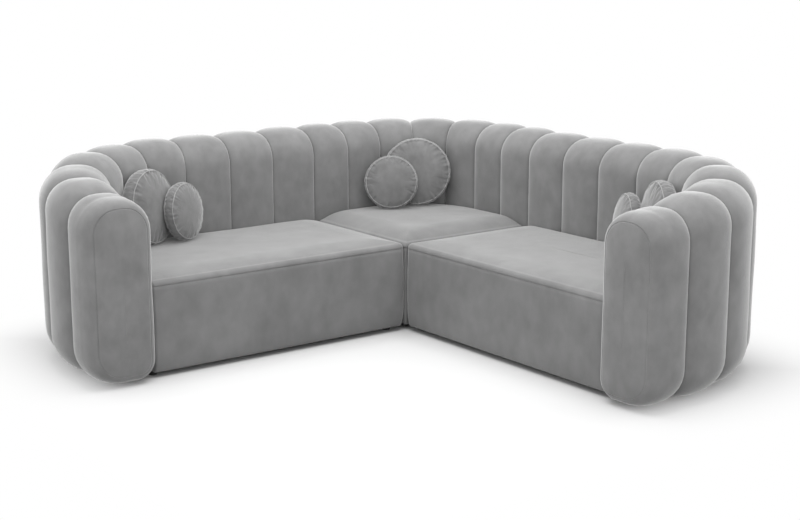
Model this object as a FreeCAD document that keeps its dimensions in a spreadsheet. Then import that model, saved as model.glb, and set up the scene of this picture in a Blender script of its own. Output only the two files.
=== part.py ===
import FreeCAD, Part
import math
import os
import re
import Sketcher
from FreeCAD import Placement, Rotation, Vector

# Channelled corner sofa in three modules, in millimetres, +Z up.
# The origin is on the floor at the centre of the outside square.
# Left wing: back at +Y, arm at -X. Right wing: its mirror image in the plane X = Y.

doc = FreeCAD.newDocument("CornerSofa")

# Driving sizes: name, value, meaning.
SIZES = [
    ("seat_depth", 760, "back crease line to seat front"),
    ("side_seat_width", 1340, "module joint to the arm's inner crease line"),
    ("seat_height", 420, "floor to the top edge of the seat"),
    ("side_seat_crown", 18, "rise of a side seat's middle over its front edge"),
    ("corner_seat_crown", 38, "rise of the corner seat's middle over its front edges"),
    ("crown_run", 130, "distance from a front edge over which a seat rises"),
    ("rear_run_share", 0.25, "that distance along the wall, as a share"),
    ("seat_edge_roll", 22, "width of the rounded top edge"),
    ("seam_drop", 24, "top edge down to the sewn seam"),
    ("seat_corner_radius", 30, "upright edge of a seat beside a module joint"),
    ("seat_arm_radius", 12, "upright edge of a seat beside the arm"),
    ("seat_foot_taper", 7, "how far the seat's faces draw in at the foot"),
    ("seat_foot_height", 70, "height over which the faces draw in"),
    ("seat_cover_wall", 12, "fabric with its wadding"),
    ("base_clearance", 25, "floor to the underside of the base"),
    ("wall_thickness", 270, "back and arm, crease line to crease line"),
    ("rib_bulge", 22, "how far a rib stands out past its creases"),
    ("rib_foot", 30, "floor to the creases at the foot of the ribs"),
    ("rib_shoulder_radius", 118, "top edge of a rib's section"),
    ("rib_inner_foot_radius", 70, "inner foot of a rib's section"),
    ("rib_outer_foot_radius", 130, "outer foot of a rib's section"),
    ("rib_tuck_height", 300, "lower end of a rib's inner leg behind the seat"),
    ("back_crest", 860, "top of the creases along the back"),
    ("arm_crest_a", 766, "top line at the arm's first rib, from the front"),
    ("arm_crest_b", 807, "top line at the arm's second rib"),
    ("arm_crest_c", 823, "top line at the arm's third rib"),
    ("arm_crest_d", 852, "top line at the fourth rib"),
    ("arm_crest_e", 857, "top line at the fifth rib"),
    ("arm_length", 807, "back crease line to the front seam of the arm"),
    ("arm_bend_radius", 545, "inner crease line where the back turns into the arm"),
    ("corner_bend_radius", 402, "inner crease line in the corner module"),
    ("corner_spacing_line", 85, "offset of the line on which the corner ribs are equal"),
    ("back_rib_pitch", 243, "width of each of the four ribs beside a module joint"),
    ("end_rib_width", 204, "width of the arm's first rib"),
    ("end_face_inset", 16, "seam of the arm's front panel, in from the crease line"),
    ("front_panel_dome", 14, "how far the arm's front panel domes forward"),
    ("wall_frame_thickness", 60, "timber frame inside the back and arm"),
    ("foam_over_frame", 108, "crest down to the wall frame's top rail"),
    ("frame_front_foam", 60, "arm's front seam back to its frame"),
    ("rail_height", 70, "top and bottom rails of the wall frame"),
    ("post_width", 45, "posts of the wall frame"),
    ("board_thickness", 18, "boards of the seat base"),
    ("deck_height", 288, "floor to the top of the base boards"),
    ("batten_width", 60, "batten along a module joint"),
    ("batten_height", 25, "height of that batten"),
    ("strap_width", 60, "seat webbing"),
    ("strap_thickness", 2, "seat webbing"),
    ("dust_sheet", 1, "fabric under the base"),
    ("glide_top_radius", 22, "glide where it meets the frame"),
    ("glide_foot_radius", 18, "glide on the floor"),
    ("glide_inset", 60, "glide centre in from a module's edges"),
    ("bolt_diameter", 8, "frame bolts"),
    ("bolt_length", 62, "frame bolts under the head"),
    ("bolt_hole_clearance", 0.5, "round each bolt"),
    ("bolt_head_across", 13, "over the flats of the head"),
    ("bolt_head_height", 5.5, "frame bolts"),
    ("washer_diameter", 24, "under each bolt head"),
    ("washer_thickness", 2, "under each bolt head"),
    ("bolt_low", 120, "height of the lower bolts"),
    ("bolt_high", 230, "height of the upper bolts"),
    ("connector_inset", 170, "connector centre in from the seat's front and back"),
    ("connector_plate", 3, "steel of the connectors"),
    ("connector_reach", 34, "how far a jaw reaches over the joint"),
    ("connector_pin_radius", 4, "pin that a jaw grips"),
    ("connector_pin_height", 12.5, "floor to the pin's axis"),
    ("connector_pin_inset", 24, "module joint to the pin's axis"),
    ("jaw_clearance", 0.5, "jaw round its pin"),
    ("jaw_width", 24, "connector jaw"),
    ("cheek_clearance", 1.5, "jaw to the bracket's cheeks"),
    ("bracket_length", 62, "connector plate along the module"),
    ("arm_link_width", 58, "base board that ties the arm's side of the base to its bend"),
    ("seat_wall_gap", 1.6, "seat cover to the fullest line of the ribs"),
    ("frame_fit", 0.3, "base to wall frame"),
    ("module_gap", 0.6, "between neighbouring modules"),
    ("soft_gap", 0.3, "between a soft piece and what it lies against"),
    ("big_cushion_radius", 175, "round scatter cushion"),
    ("big_cushion_depth", 112, "thickness at its middle"),
    ("small_cushion_radius", 137, "round scatter cushion"),
    ("small_cushion_depth", 92, "thickness at its middle"),
    ("cushion_dome", 24, "rise of a cushion's face over its seam"),
    ("cushion_draw", 9, "seam drawn in from the side band"),
    ("arm_cushion_lean", 7, "degrees that the arm's cushions lean back"),
    ("arm_cushion_angle", 114.5, "degrees round the bend where the big cushion leans"),
    ("arm_cushion_facing", -61, "degrees, the way the arm's cushions face"),
    ("arm_cushion_shift", 142, "small cushion beside the big one, towards the joint"),
    ("corner_cushion_lean", 11, "degrees that the corner's cushions lean back"),
    ("corner_cushion_angle", 55, "degrees round the bend where the big cushion leans"),
    ("corner_cushion_facing", -125, "degrees, the way the corner's cushions face"),
    ("corner_cushion_shift", -135, "small cushion beside the big one, to its left"),
]

# Sizes worked out from the ones above: name, formula.
DERIVED = [
    ("inner_half", "(seat_depth + side_seat_width) / 2"),
    ("outer_half", "inner_half + wall_thickness + rib_bulge"),
    ("joint_line", "inner_half - seat_depth"),
    ("side_straight", "side_seat_width - arm_bend_radius"),
    ("side_bend", "(arm_bend_radius + wall_thickness / 2) * pi / 2"),
    ("arm_straight", "arm_length - arm_bend_radius"),
    ("side_run", "side_straight + side_bend + arm_straight"),
    ("bend_rib_pitch", "(side_run - 4 * back_rib_pitch - end_rib_width) / 4"),
    ("corner_straight", "seat_depth - corner_bend_radius"),
    ("frame_in", "(wall_thickness - wall_frame_thickness) / 2"),
    ("frame_out", "(wall_thickness + wall_frame_thickness) / 2"),
    ("back_frame_top", "back_crest - foam_over_frame"),
    ("arm_frame_top", "arm_crest_a - foam_over_frame"),
    ("arm_centre_x", "arm_bend_radius - inner_half"),
    ("arm_centre_y", "inner_half - arm_bend_radius"),
    ("corner_centre", "inner_half - corner_bend_radius"),
    ("low_bend_angle", "(4 * back_rib_pitch + 2 * bend_rib_pitch - side_straight)"
                       " / (arm_bend_radius + wall_thickness / 2) * 180 / pi"),
    ("base_inset", "seat_cover_wall + soft_gap"),
    ("arm_side", "rib_bulge + seat_wall_gap - inner_half"),
    ("base_front", "joint_line + base_inset"),
    ("base_reach", "frame_in - frame_fit"),
    ("base_back", "inner_half + base_reach"),
    ("side_joint", "joint_line - module_gap / 2"),
    ("corner_joint", "joint_line + module_gap / 2"),
    ("arm_opening", "arm_centre_y - arm_link_width"),
    ("sheet_bottom", "base_clearance - dust_sheet"),
    ("plate_bottom", "sheet_bottom - connector_plate"),
]

sheet = doc.addObject("Spreadsheet::Sheet", "Sizes")
for row, (alias, value, meaning) in enumerate(SIZES, start=1):
    sheet.set("A%d" % row, alias)
    sheet.set("B%d" % row, str(value))
    sheet.set("C%d" % row, meaning)
    sheet.setAlias("B%d" % row, alias)
for row, (alias, formula) in enumerate(DERIVED, start=len(SIZES) + 2):
    sheet.set("A%d" % row, alias)
    sheet.set("B%d" % row, "=" + formula)
    sheet.setAlias("B%d" % row, alias)
doc.recompute()

# How far a cutting block passes the faces that it cuts.
PAST = 1

ALIASES = [entry[0] for entry in SIZES + DERIVED]
ALIAS_WORD = re.compile(r"\b(" + "|".join(ALIASES) + r")\b")
NODES = []


def size(alias):
    """Value of a named size, in millimetres."""
    return float(sheet.get(alias))


def linked(text):
    """Expression in which every size is read from the sheet."""
    return ALIAS_WORD.sub(r"Sizes.\1", text)


def bind(item, **formulas):
    """Tie properties of an object to sizes."""
    for path, text in formulas.items():
        item.setExpression(path.replace("__", "."), linked(text))
    return item


def place(item, x, y, z):
    return bind(item, Placement__Base__x=x, Placement__Base__y=y, Placement__Base__z=z)


def node(item, name):
    """Give a finished sub-part its own name."""
    item.Label = name
    NODES.append(item)
    return item


def box(name, x0, x1, y0, y1, z0, z1):
    """Cuboid between two corners, each coordinate a formula."""
    item = doc.addObject("Part::Box", name)
    spans = {"Length": (x0, x1), "Width": (y0, y1), "Height": (z0, z1)}
    bind(item, **{key: "(%s) - (%s)" % (high, low) for key, (low, high) in spans.items()})
    return place(item, x0, y0, z0)


def cylinder(name, radius, height, x, y, z, turn=None):
    item = doc.addObject("Part::Cylinder", name)
    bind(item, Radius=radius, Height=height)
    if turn:
        item.Placement = Placement(Vector(), Rotation(Vector(*turn), 90))
    return place(item, x, y, z)


def sector(name, radius, start, sweep, centre, z0, z1):
    """Slice of an upright cylinder between two angles."""
    item = doc.addObject("Part::Cylinder", name)
    bind(item, Radius=radius, Angle=sweep, Height="(%s) - (%s)" % (z1, z0))
    item.Placement = Placement(Vector(), Rotation(Vector(0, 0, 1), 90))
    bind(item, Placement__Rotation__Angle=start)
    return place(item, centre[0], centre[1], z0)


def ring(name, inner, outer, start, sweep, centre, z0, z1):
    """Curved board: part of an upright ring."""
    item = doc.addObject("Part::Cut", name)
    item.Base = sector(name + "_outer", outer, start, sweep, centre, z0, z1)
    item.Tool = sector(name + "_inner", inner, start, sweep, centre, z0, z1)
    return item


def fuse(name, pieces):
    item = doc.addObject("Part::MultiFuse", name)
    item.Shapes = pieces
    item.Refine = True
    return item


def cut(name, base, tools):
    """Base with the tools taken out of it."""
    item = doc.addObject("Part::Cut", name)
    item.Base = base
    item.Tool = tools[0] if len(tools) == 1 else group(name + "_tools", tools)
    return item


def group(name, pieces):
    """Separate solids kept together under one name."""
    item = doc.addObject("Part::Compound", name)
    item.Links = pieces
    return item


def mirrored(source, name):
    """Right-hand twin of a left-hand piece."""
    item = doc.addObject("Part::Mirroring", name)
    item.Source = source
    item.Base = Vector(0, 0, 0)
    item.Normal = Vector(1, -1, 0)
    return item


def formed(name, shape):
    """Sub-part whose soft form is lofted here."""
    item = doc.addObject("Part::Feature", name)
    item.Shape = shape
    item.Placement = Placement()
    return item


# Line that the back and arm follow: a straight, a quarter bend and a second straight.
class WallLine:
    def __init__(self, side, straight, radius, spacing, end):
        self.side = side
        self.straight = straight
        self.radius = radius
        self.spacing = radius + spacing
        self.centre = Vector(size("joint_line") + side * straight, size("inner_half") - radius, 0)
        self.end = end
        self.length = straight + self.spacing * math.pi / 2 + end

    def at(self, run):
        """Point on the inner crease line, and the way out of the room from it."""
        turned = min(max((run - self.straight) / self.spacing, 0.0), math.pi / 2)
        out = Vector(self.side * math.sin(turned), math.cos(turned), 0)
        point = self.centre + out * self.radius
        if run < self.straight:
            point.x -= self.side * (self.straight - run)
        rest = run - self.straight - self.spacing * math.pi / 2
        if rest > 0:
            point.y -= rest
        return point, out

    def room(self, point):
        """Distance of a point from the face of the ribs."""
        along = self.side * (point.x - self.centre.x)
        across = point.y - self.centre.y
        if along < 0 or across < 0:
            reach = across if along < 0 else along
        else:
            reach = math.hypot(along, across)
        return self.radius - size("rib_bulge") - reach

    def edges(self, offset):
        """Lines and arc of the wall line, moved out by an offset."""
        radius = self.radius + offset
        start = self.centre + Vector(-self.side * self.straight, radius, 0)
        bend_start = self.centre + Vector(0, radius, 0)
        middle = self.centre + Vector(self.side, 1, 0) * (radius * math.sqrt(0.5))
        bend_end = self.centre + Vector(self.side * radius, 0, 0)
        finish = bend_end - Vector(0, self.end, 0)
        arc = Part.Arc(bend_start, middle, bend_end).toShape()
        return start, finish, [Part.makeLine(start, bend_start), arc, Part.makeLine(bend_end, finish)]

    def band(self, inner, outer, low, high):
        """Upright solid between two offsets of the wall line."""
        start_in, finish_in, edges_in = self.edges(inner)
        start_out, finish_out, edges_out = self.edges(outer)
        caps = [Part.makeLine(start_in, start_out), Part.makeLine(finish_in, finish_out)]
        loop = Part.Wire(Part.__sortEdges__(edges_in + edges_out + caps))
        face = Part.Face(loop)
        face.translate(Vector(0, 0, low))
        return face.extrude(Vector(0, 0, high - low))


def quarter(centre, radius, start):
    """Quarter circle in a section plane, as three points."""
    angles = [start, start + math.pi / 4, start + math.pi / 2]
    return [(centre[0] + radius * math.cos(a), centre[1] + radius * math.sin(a)) for a in angles]


def section(line, run, crest, grow):
    """Closed section of the wall: flat foot, upright sides and a rounded top."""
    wall = size("wall_thickness")
    foot = size("rib_foot")
    inner_foot = size("rib_inner_foot_radius")
    outer_foot = size("rib_outer_foot_radius")
    shoulder = size("rib_shoulder_radius")
    corners = [
        quarter((wall - outer_foot, foot + outer_foot), outer_foot + grow, -math.pi / 2),
        quarter((wall - shoulder, crest - shoulder), shoulder + grow, 0),
        quarter((shoulder, crest - shoulder), shoulder + grow, math.pi / 2),
        quarter((inner_foot, foot + inner_foot), inner_foot + grow, math.pi),
    ]
    point, out = line.at(run)
    solid_corners = [[point + out * s + Vector(0, 0, z) for s, z in corner] for corner in corners]
    edges = []
    for number, corner in enumerate(solid_corners):
        edges.append(Part.Arc(*corner).toShape())
        edges.append(Part.makeLine(corner[2], solid_corners[(number + 1) % 4][0]))
    return Part.Wire(edges)


# Stations across a rib from crease to crease, and how full it is at each.
RIB_STATIONS = [(-1, 0), (-0.72, 0.70), (0, 1), (0.72, 0.70), (1, 0)]
END_STATIONS = [(-1, 0), (-0.72, 0.70), (0, 1), (0.45, 0.86), (0.78, 0.42), (0.94, -0.12)]


def crest_line(centres, crests):
    """Height of the top line along the wall, straight between rib middles."""
    def height(run):
        if run <= centres[0]:
            return crests[0]
        for k in range(1, len(centres)):
            if run <= centres[k]:
                share = (run - centres[k - 1]) / (centres[k] - centres[k - 1])
                return crests[k - 1] + share * (crests[k] - crests[k - 1])
        return crests[-1]
    return height


def rib_form(line, start, finish, height, is_end=False):
    """Fat upright channel between two creases."""
    middle = (start + finish) / 2
    half = (finish - start) / 2
    bulge = size("rib_bulge")
    sections = []
    for t, full in END_STATIONS if is_end else RIB_STATIONS:
        run = middle + t * half
        sections.append(section(line, run, height(run), full * bulge))
    if is_end:
        sections.append(section(line, finish, height(finish), -size("end_face_inset")))
    return Part.makeLoft(sections, True, False)


def behind_seat(line):
    """Room behind the foot of a seat, where the base meets the wall frame."""
    return line.band(-2 * size("rib_bulge"), size("frame_in"), -PAST, size("rib_tuck_height"))


def channels(line, creases, height, slots, tucks, has_end):
    """Ribs of one wall, each hollowed for the timber frame and the base."""
    shapes = []
    for k, (start, finish) in enumerate(zip(creases, creases[1:])):
        is_end = has_end and k == len(creases) - 2
        shape = rib_form(line, start, finish, height, is_end).cut(slots[k]).cut(tucks[k])
        shapes.append(shape.Solids[0] if len(shape.Solids) == 1 else shape)
    return shapes


# Left wall: four equal ribs along the back, four round the bend and the arm's end rib.
left_line = WallLine(-1, size("side_straight"), size("arm_bend_radius"),
                     size("wall_thickness") / 2, size("arm_straight"))
left_creases = [size("module_gap") / 2]
left_creases += [k * size("back_rib_pitch") for k in range(1, 5)]
left_creases += [left_creases[4] + k * size("bend_rib_pitch") for k in range(1, 5)]
left_creases += [left_line.length]
left_middles = [(a + b) / 2 for a, b in zip(left_creases, left_creases[1:])]
left_crests = [size("back_crest")] * 4 + [size("arm_crest_" + letter) for letter in "edcba"]

gap = size("soft_gap")
slot_in = size("frame_in") - gap
slot_out = size("frame_out") + gap
arm_front = size("inner_half") - size("arm_length")
nose = Part.makeBox(2 * size("outer_half"), size("outer_half"), size("back_crest"))
nose_end = arm_front + size("frame_front_foam") - gap
nose.translate(Vector(-2 * size("outer_half"), nose_end - size("outer_half"), -2 * PAST))
back_slot = left_line.band(slot_in, slot_out, -PAST, size("back_frame_top") + gap)
arm_slot = left_line.band(slot_in, slot_out, -PAST, size("arm_frame_top") + gap).cut(nose)

# The base reaches the arm's frame behind its front stretch.
behind_arm = Part.makeBox(2 * size("outer_half"), size("outer_half"), size("seat_height"))
behind_arm.translate(Vector(-size("outer_half"), size("arm_opening") + gap, -PAST))
left_tuck = behind_seat(left_line)
end_tuck = left_tuck.common(behind_arm)

# The frame is lower in the arm, whose first three ribs fall towards the front.
left_shapes = channels(left_line, left_creases, crest_line(left_middles, left_crests),
                       [back_slot] * 6 + [arm_slot] * 3, [left_tuck] * 8 + [end_tuck], True)
left_ribs = []
for k, shape in enumerate(left_shapes):
    left_ribs.append(node(formed("left_rib_%d" % (9 - k), shape), "left_rib_%d" % (9 - k)))

# Corner module: seven ribs that fan out round the bend.
corner_line = WallLine(1, size("corner_straight"), size("corner_bend_radius"),
                       size("corner_spacing_line"), size("corner_straight"))
corner_creases = [k * corner_line.length / 7 for k in range(8)]
corner_creases[0] += size("module_gap") / 2
corner_creases[7] -= size("module_gap") / 2
corner_slot = corner_line.band(slot_in, slot_out, -PAST, size("back_frame_top") + gap)
corner_shapes = channels(corner_line, corner_creases, lambda run: size("back_crest"),
                         [corner_slot] * 7, [behind_seat(corner_line)] * 7, False)
for k, shape in enumerate(corner_shapes):
    node(formed("corner_rib_%d" % (k + 1), shape), "corner_rib_%d" % (k + 1))


# Steps of the front panel's dome: share of its depth, and how far in its outline has drawn.
FRONT_PANEL_STEPS = [(0, 0.5), (0.45, 4), (0.8, 16), (1, 42)]


def front_panel():
    """Sewn pad on the flat end of the arm, domed a little forward."""
    end = left_line.length
    crest = size("arm_crest_a")
    inset = size("end_face_inset")
    dome = size("front_panel_dome")
    sections = []
    for depth, more in FRONT_PANEL_STEPS:
        sections.append(section(left_line, end + depth * dome, crest, -inset - more))
    return Part.makeLoft(sections, True, False)


left_panel = node(formed("left_arm_front_panel", front_panel()), "left_arm_front_panel")


def rounded_outline(plan, radii, weights, inset, z):
    """Plan of a seat: four sides and four corners, each side drawn in by its share of an inset."""
    inward = (1, -1, 1, -1)
    x0, x1, y0, y1 = [edge + way * weight * inset for edge, way, weight in zip(plan, inward, weights)]
    least = size("seat_arm_radius") / 2
    shares = [max(weights[a], weights[b]) for a, b in ((1, 2), (1, 3), (0, 3), (0, 2))]
    r = [max(radius - inset * share, least) for radius, share in zip(radii, shares)]
    centres = [(x1 - r[0], y0 + r[0]), (x1 - r[1], y1 - r[1]),
               (x0 + r[2], y1 - r[2]), (x0 + r[3], y0 + r[3])]
    arcs = [quarter(centres[k], r[k], math.pi / 2 * (k - 1)) for k in range(4)]
    corners = [[Vector(x, y, z) for x, y in arc] for arc in arcs]
    edges = []
    for k in range(4):
        edges.append(Part.Arc(*corners[k]).toShape())
        edges.append(Part.makeLine(corners[k][2], corners[(k + 1) % 4][0]))
    return Part.Wire(edges)


def seat_levels(crown):
    """Heights and insets of the seat's outside, from its foot to its crown."""
    foot = size("base_clearance")
    top = size("seat_height")
    drop = size("seam_drop")
    roll = size("seat_edge_roll")
    run = size("crown_run")
    levels = [(foot, size("seat_foot_taper")), (foot + size("seat_foot_height"), 0)]
    for degrees in (0, 30, 60, 85):
        turn = math.radians(degrees)
        levels.append((top - drop * (1 - math.sin(turn)), roll * (1 - math.cos(turn))))
    for share in (0.3, 0.6, 1):
        levels.append((top + crown * (1 - (1 - share) ** 2), roll + run * share))
    return levels


def seat_form(plan, radii, weights, crown):
    """Outside of a seat: upright faces, a rounded top edge and a crown."""
    wires = [rounded_outline(plan, radii, weights, inset, z) for z, inset in seat_levels(crown)]
    return Part.makeLoft(wires, True, True)


def seat_block(plan, radii, inset, low, high):
    """Upright block inside a seat, the same distance in on every side."""
    face = Part.Face(rounded_outline(plan, radii, (1, 1, 1, 1), inset, low))
    return face.extrude(Vector(0, 0, high - low))


def base_room(plan, radii):
    """Room for the square corners of the base's front board, inside a cover."""
    wall = size("seat_cover_wall")
    x0, x1, y0 = plan[:3]
    room = Part.makeBox(x1 - radii[0] - x0 - wall, 2 * size("seat_corner_radius"), open_top)
    room.translate(Vector(x0 + wall, y0 + wall, 0))
    return room


def seat_soft_parts(name, plan, radii, weights, crown, opening):
    """Padded cover, open below, and the foam block that it holds."""
    wall = size("seat_cover_wall")
    deck = size("deck_height") + size("strap_thickness")
    top = size("seat_height") - size("seam_drop")
    cover = seat_form(plan, radii, weights, crown)
    cover = cover.cut(seat_block(plan, radii, wall, 0, top)).cut(opening).cut(base_room(plan, radii))
    foam = seat_block(plan, radii, wall + gap, deck, top - gap)
    return (node(formed(name + "_seat_cover", cover), name + "_seat_cover"),
            node(formed(name + "_seat_foam", foam), name + "_seat_foam"))


# Below the deck a cover is open at the back, where the base meets the wall frame.
inner_radius = size("rib_bulge") + size("seat_wall_gap")
seat_back = size("inner_half") - inner_radius
open_from = -inner_radius - size("seat_cover_wall") - size("seat_arm_radius") / 2 - PAST
open_top = size("deck_height") + size("strap_thickness") + gap
small = size("seat_arm_radius")
left_opening = left_line.band(open_from, size("frame_in"), -PAST, open_top).common(behind_arm)
left_plan = (size("arm_side"), size("side_joint"), size("joint_line"), seat_back)
left_radii = (size("seat_corner_radius"), small, size("arm_bend_radius") - inner_radius, small)
rear = size("rear_run_share")
left_cover, left_foam = seat_soft_parts("left", left_plan, left_radii, (rear, 1, 1, rear),
                                        size("side_seat_crown"), left_opening)

corner_opening = corner_line.band(open_from, size("frame_in"), -PAST, open_top)
corner_plan = (size("corner_joint"), seat_back, size("corner_joint"), seat_back)
corner_radii = (small, size("corner_bend_radius") - inner_radius, small, small)
seat_soft_parts("corner", corner_plan, corner_radii, (1, rear, 1, rear),
                size("corner_seat_crown"), corner_opening)

# Timber: wall frames of rails and posts, which the ribs sit over.
ARM_CENTRE = ("arm_centre_x", "arm_centre_y")
CORNER_CENTRE = ("corner_centre", "corner_centre")
WALL_IN = "inner_half + frame_in"
WALL_OUT = "inner_half + frame_out"
LOW = "base_clearance"
LOW_TOP = "base_clearance + rail_height"
BEND_POST_SWEEP = "5"


def wall_rings(name, radius, start, sweep, centre, z0, z1):
    return ring(name, radius + " + frame_in", radius + " + frame_out", start, sweep, centre, z0, z1)


def left_wall_frame():
    bend = "arm_bend_radius"
    arm_end = "inner_half - arm_length + frame_front_foam"
    back_top = "back_frame_top"
    arm_top = "arm_frame_top"
    pieces = []
    for level, z0, z1 in [("low", LOW, LOW_TOP), ("high", back_top + " - rail_height", back_top)]:
        pieces.append(box("left_back_rail_" + level, "arm_centre_x", "side_joint",
                          WALL_IN, WALL_OUT, z0, z1))
    for level, z0, z1 in [("low", LOW, LOW_TOP), ("high", arm_top + " - rail_height", arm_top)]:
        pieces.append(box("left_arm_rail_" + level, "-(%s)" % WALL_OUT, "-(%s)" % WALL_IN,
                          arm_end, "arm_centre_y", z0, z1))
    pieces.append(wall_rings("left_bend_low", bend, "90", "90", ARM_CENTRE, LOW, LOW_TOP))
    pieces.append(wall_rings("left_bend_back", bend, "90", "low_bend_angle", ARM_CENTRE,
                             back_top + " - rail_height", back_top))
    pieces.append(wall_rings("left_bend_arm", bend, "90 + low_bend_angle", "90 - low_bend_angle", ARM_CENTRE,
                             arm_top + " - rail_height", arm_top))
    pieces.append(wall_rings("left_bend_post", bend, "90 + low_bend_angle - %s" % BEND_POST_SWEEP,
                             BEND_POST_SWEEP, ARM_CENTRE, LOW, back_top))
    post_starts = ["side_joint - post_width", "(side_joint + arm_centre_x - post_width) / 2", "arm_centre_x"]
    for k, start in enumerate(post_starts):
        pieces.append(box("left_back_post_%d" % k, start, start + " + post_width",
                          WALL_IN, WALL_OUT, LOW, back_top))
    for k, start in enumerate([arm_end, "arm_centre_y - post_width"]):
        pieces.append(box("left_arm_post_%d" % k, "-(%s)" % WALL_OUT, "-(%s)" % WALL_IN,
                          start, start + " + post_width", LOW, arm_top))
    return fuse("left_wall_timber", pieces)


def corner_wall_frame():
    back_top = "back_frame_top"
    pieces = []
    for level, z0, z1 in [("low", LOW, LOW_TOP), ("high", back_top + " - rail_height", back_top)]:
        pieces.append(box("corner_rail_a_" + level, "corner_joint", "corner_centre",
                          WALL_IN, WALL_OUT, z0, z1))
        pieces.append(box("corner_rail_b_" + level, WALL_IN, WALL_OUT,
                          "corner_joint", "corner_centre", z0, z1))
        pieces.append(wall_rings("corner_bend_" + level, "corner_bend_radius", "0", "90",
                                 CORNER_CENTRE, z0, z1))
    pieces.append(wall_rings("corner_bend_post", "corner_bend_radius", "45 - %s / 2" % BEND_POST_SWEEP,
                             BEND_POST_SWEEP, CORNER_CENTRE, LOW, back_top))
    for k, start in enumerate(["corner_joint", "corner_centre - post_width"]):
        end = start + " + post_width"
        pieces.append(box("corner_post_a_%d" % k, start, end, WALL_IN, WALL_OUT, LOW, back_top))
        pieces.append(box("corner_post_b_%d" % k, WALL_IN, WALL_OUT, start, end, LOW, back_top))
    return fuse("corner_wall_timber", pieces)


def base_ring(name, radius, start, centre):
    outer = radius + " + base_reach"
    return ring(name, outer + " - board_thickness", outer, start, "90", centre, LOW, "deck_height")


def left_base_frame():
    """Box of boards under the left seat, curved where the wall bends."""
    joint = "side_joint - base_inset"
    arm = "arm_side + base_inset"
    front = "base_front"
    board = " + board_thickness"
    deck = "deck_height"
    inner = joint + " - board_thickness"
    middle = "(side_joint + arm_centre_x) / 2"
    pieces = [
        box("left_front_board", arm, joint, front, front + board, LOW, deck),
        box("left_joint_board", inner, joint, front, "base_back", LOW, deck),
        box("left_back_board", "arm_centre_x", joint, "base_back - board_thickness", "base_back", LOW, deck),
        box("left_arm_board", arm, arm + board, front, "arm_centre_y", LOW, deck),
        box("left_arm_link", "-base_back", arm + board, "arm_opening + 2 * soft_gap", "arm_centre_y",
            LOW, deck),
        box("left_cross_board", "arm_centre_x", "arm_centre_x" + board, front, "base_back", LOW, deck),
        box("left_middle_board", middle, middle + board, front, "base_back", LOW, deck),
        box("left_batten", inner + " - batten_width", inner, front, "base_back",
            LOW, LOW + " + batten_height"),
        base_ring("left_base_bend", "arm_bend_radius", "90", ARM_CENTRE),
    ]
    return fuse("left_base_timber", pieces)


def corner_base_frame():
    """Square box of boards under the corner seat."""
    start = "corner_joint + base_inset"
    inner = start + " + board_thickness"
    back = "base_back - board_thickness"
    deck = "deck_height"
    batten_top = LOW + " + batten_height"
    pieces = [
        box("corner_joint_board_a", start, inner, start, "base_back", LOW, deck),
        box("corner_joint_board_b", start, "base_back", start, inner, LOW, deck),
        box("corner_back_board_a", start, "corner_centre", back, "base_back", LOW, deck),
        box("corner_back_board_b", back, "base_back", start, "corner_centre", LOW, deck),
        box("corner_cross_board", "corner_centre - board_thickness", "corner_centre", start, "base_back",
            LOW, deck),
        box("corner_batten_a", inner, inner + " + batten_width", start, "base_back", LOW, batten_top),
        box("corner_batten_b", start, "base_back", inner, inner + " + batten_width", LOW, batten_top),
        base_ring("corner_base_bend", "corner_bend_radius", "0", CORNER_CENTRE),
    ]
    return fuse("corner_base_timber", pieces)


def rounding():
    """Cutter that rounds the left base's upright corner beside the joint, under the cover's own."""
    x, y = "side_joint - seat_corner_radius", "joint_line + seat_corner_radius"
    bottom = "sheet_bottom - board_thickness"
    block = box("left_rounding_block", x, x + " + seat_corner_radius", y + " - seat_corner_radius", y,
                bottom, "deck_height + board_thickness")
    post = cylinder("left_rounding_post", "seat_corner_radius - base_inset",
                    "deck_height + 2 * board_thickness", x, y, bottom)
    return cut("left_rounding", block, [post])


left_rounding = rounding()

# Bolts hold each base to its wall frame, with a hole round every shank.
BOLT_LEVELS = ["bolt_low", "bolt_high"]
TOWARDS_BACK = (-1, 0, 0)


def bolt(name, x, z):
    """Hexagon bolt with its washer, through the base's back board."""
    seat = "base_back - board_thickness - washer_thickness"
    shank = cylinder(name + "_shank", "bolt_diameter / 2", "bolt_length", x, seat, z, TOWARDS_BACK)
    washer = cylinder(name + "_washer", "washer_diameter / 2", "washer_thickness", x, seat, z, TOWARDS_BACK)
    head = doc.addObject("Part::Prism", name + "_head")
    head.Polygon = 6
    bind(head, Circumradius="bolt_head_across / sqrt(3)", Height="bolt_head_height")
    head.Placement = Placement(Vector(), Rotation(Vector(*TOWARDS_BACK), 90))
    place(head, x, seat + " - bolt_head_height", z)
    return fuse(name, [shank, washer, head])


def bolt_hole(name, x, z):
    start = "base_back - 2 * board_thickness"
    return cylinder(name, "bolt_diameter / 2 + bolt_hole_clearance", "bolt_length + 2 * board_thickness",
                    x, start, z, TOWARDS_BACK)


def bolts_and_holes(name, columns):
    bolts, base_holes, wall_holes = [], [], []
    for k, x in enumerate(columns):
        for level, z in enumerate(BOLT_LEVELS):
            tag = "%s_bolt_%d_%d" % (name, k, level)
            bolts.append(bolt(tag, x, z))
            base_holes.append(bolt_hole(tag + "_base_hole", x, z))
            wall_holes.append(bolt_hole(tag + "_wall_hole", x, z))
    return bolts, base_holes, wall_holes


left_columns = ["side_joint - 3 * batten_width", "arm_centre_x + 3 * batten_width"]
left_bolts, left_base_holes, left_wall_holes = bolts_and_holes("left", left_columns)


def both_sides(items):
    """The pieces and their mirror images across the corner."""
    return items + [mirrored(item, item.Name + "_right") for item in items]


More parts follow.
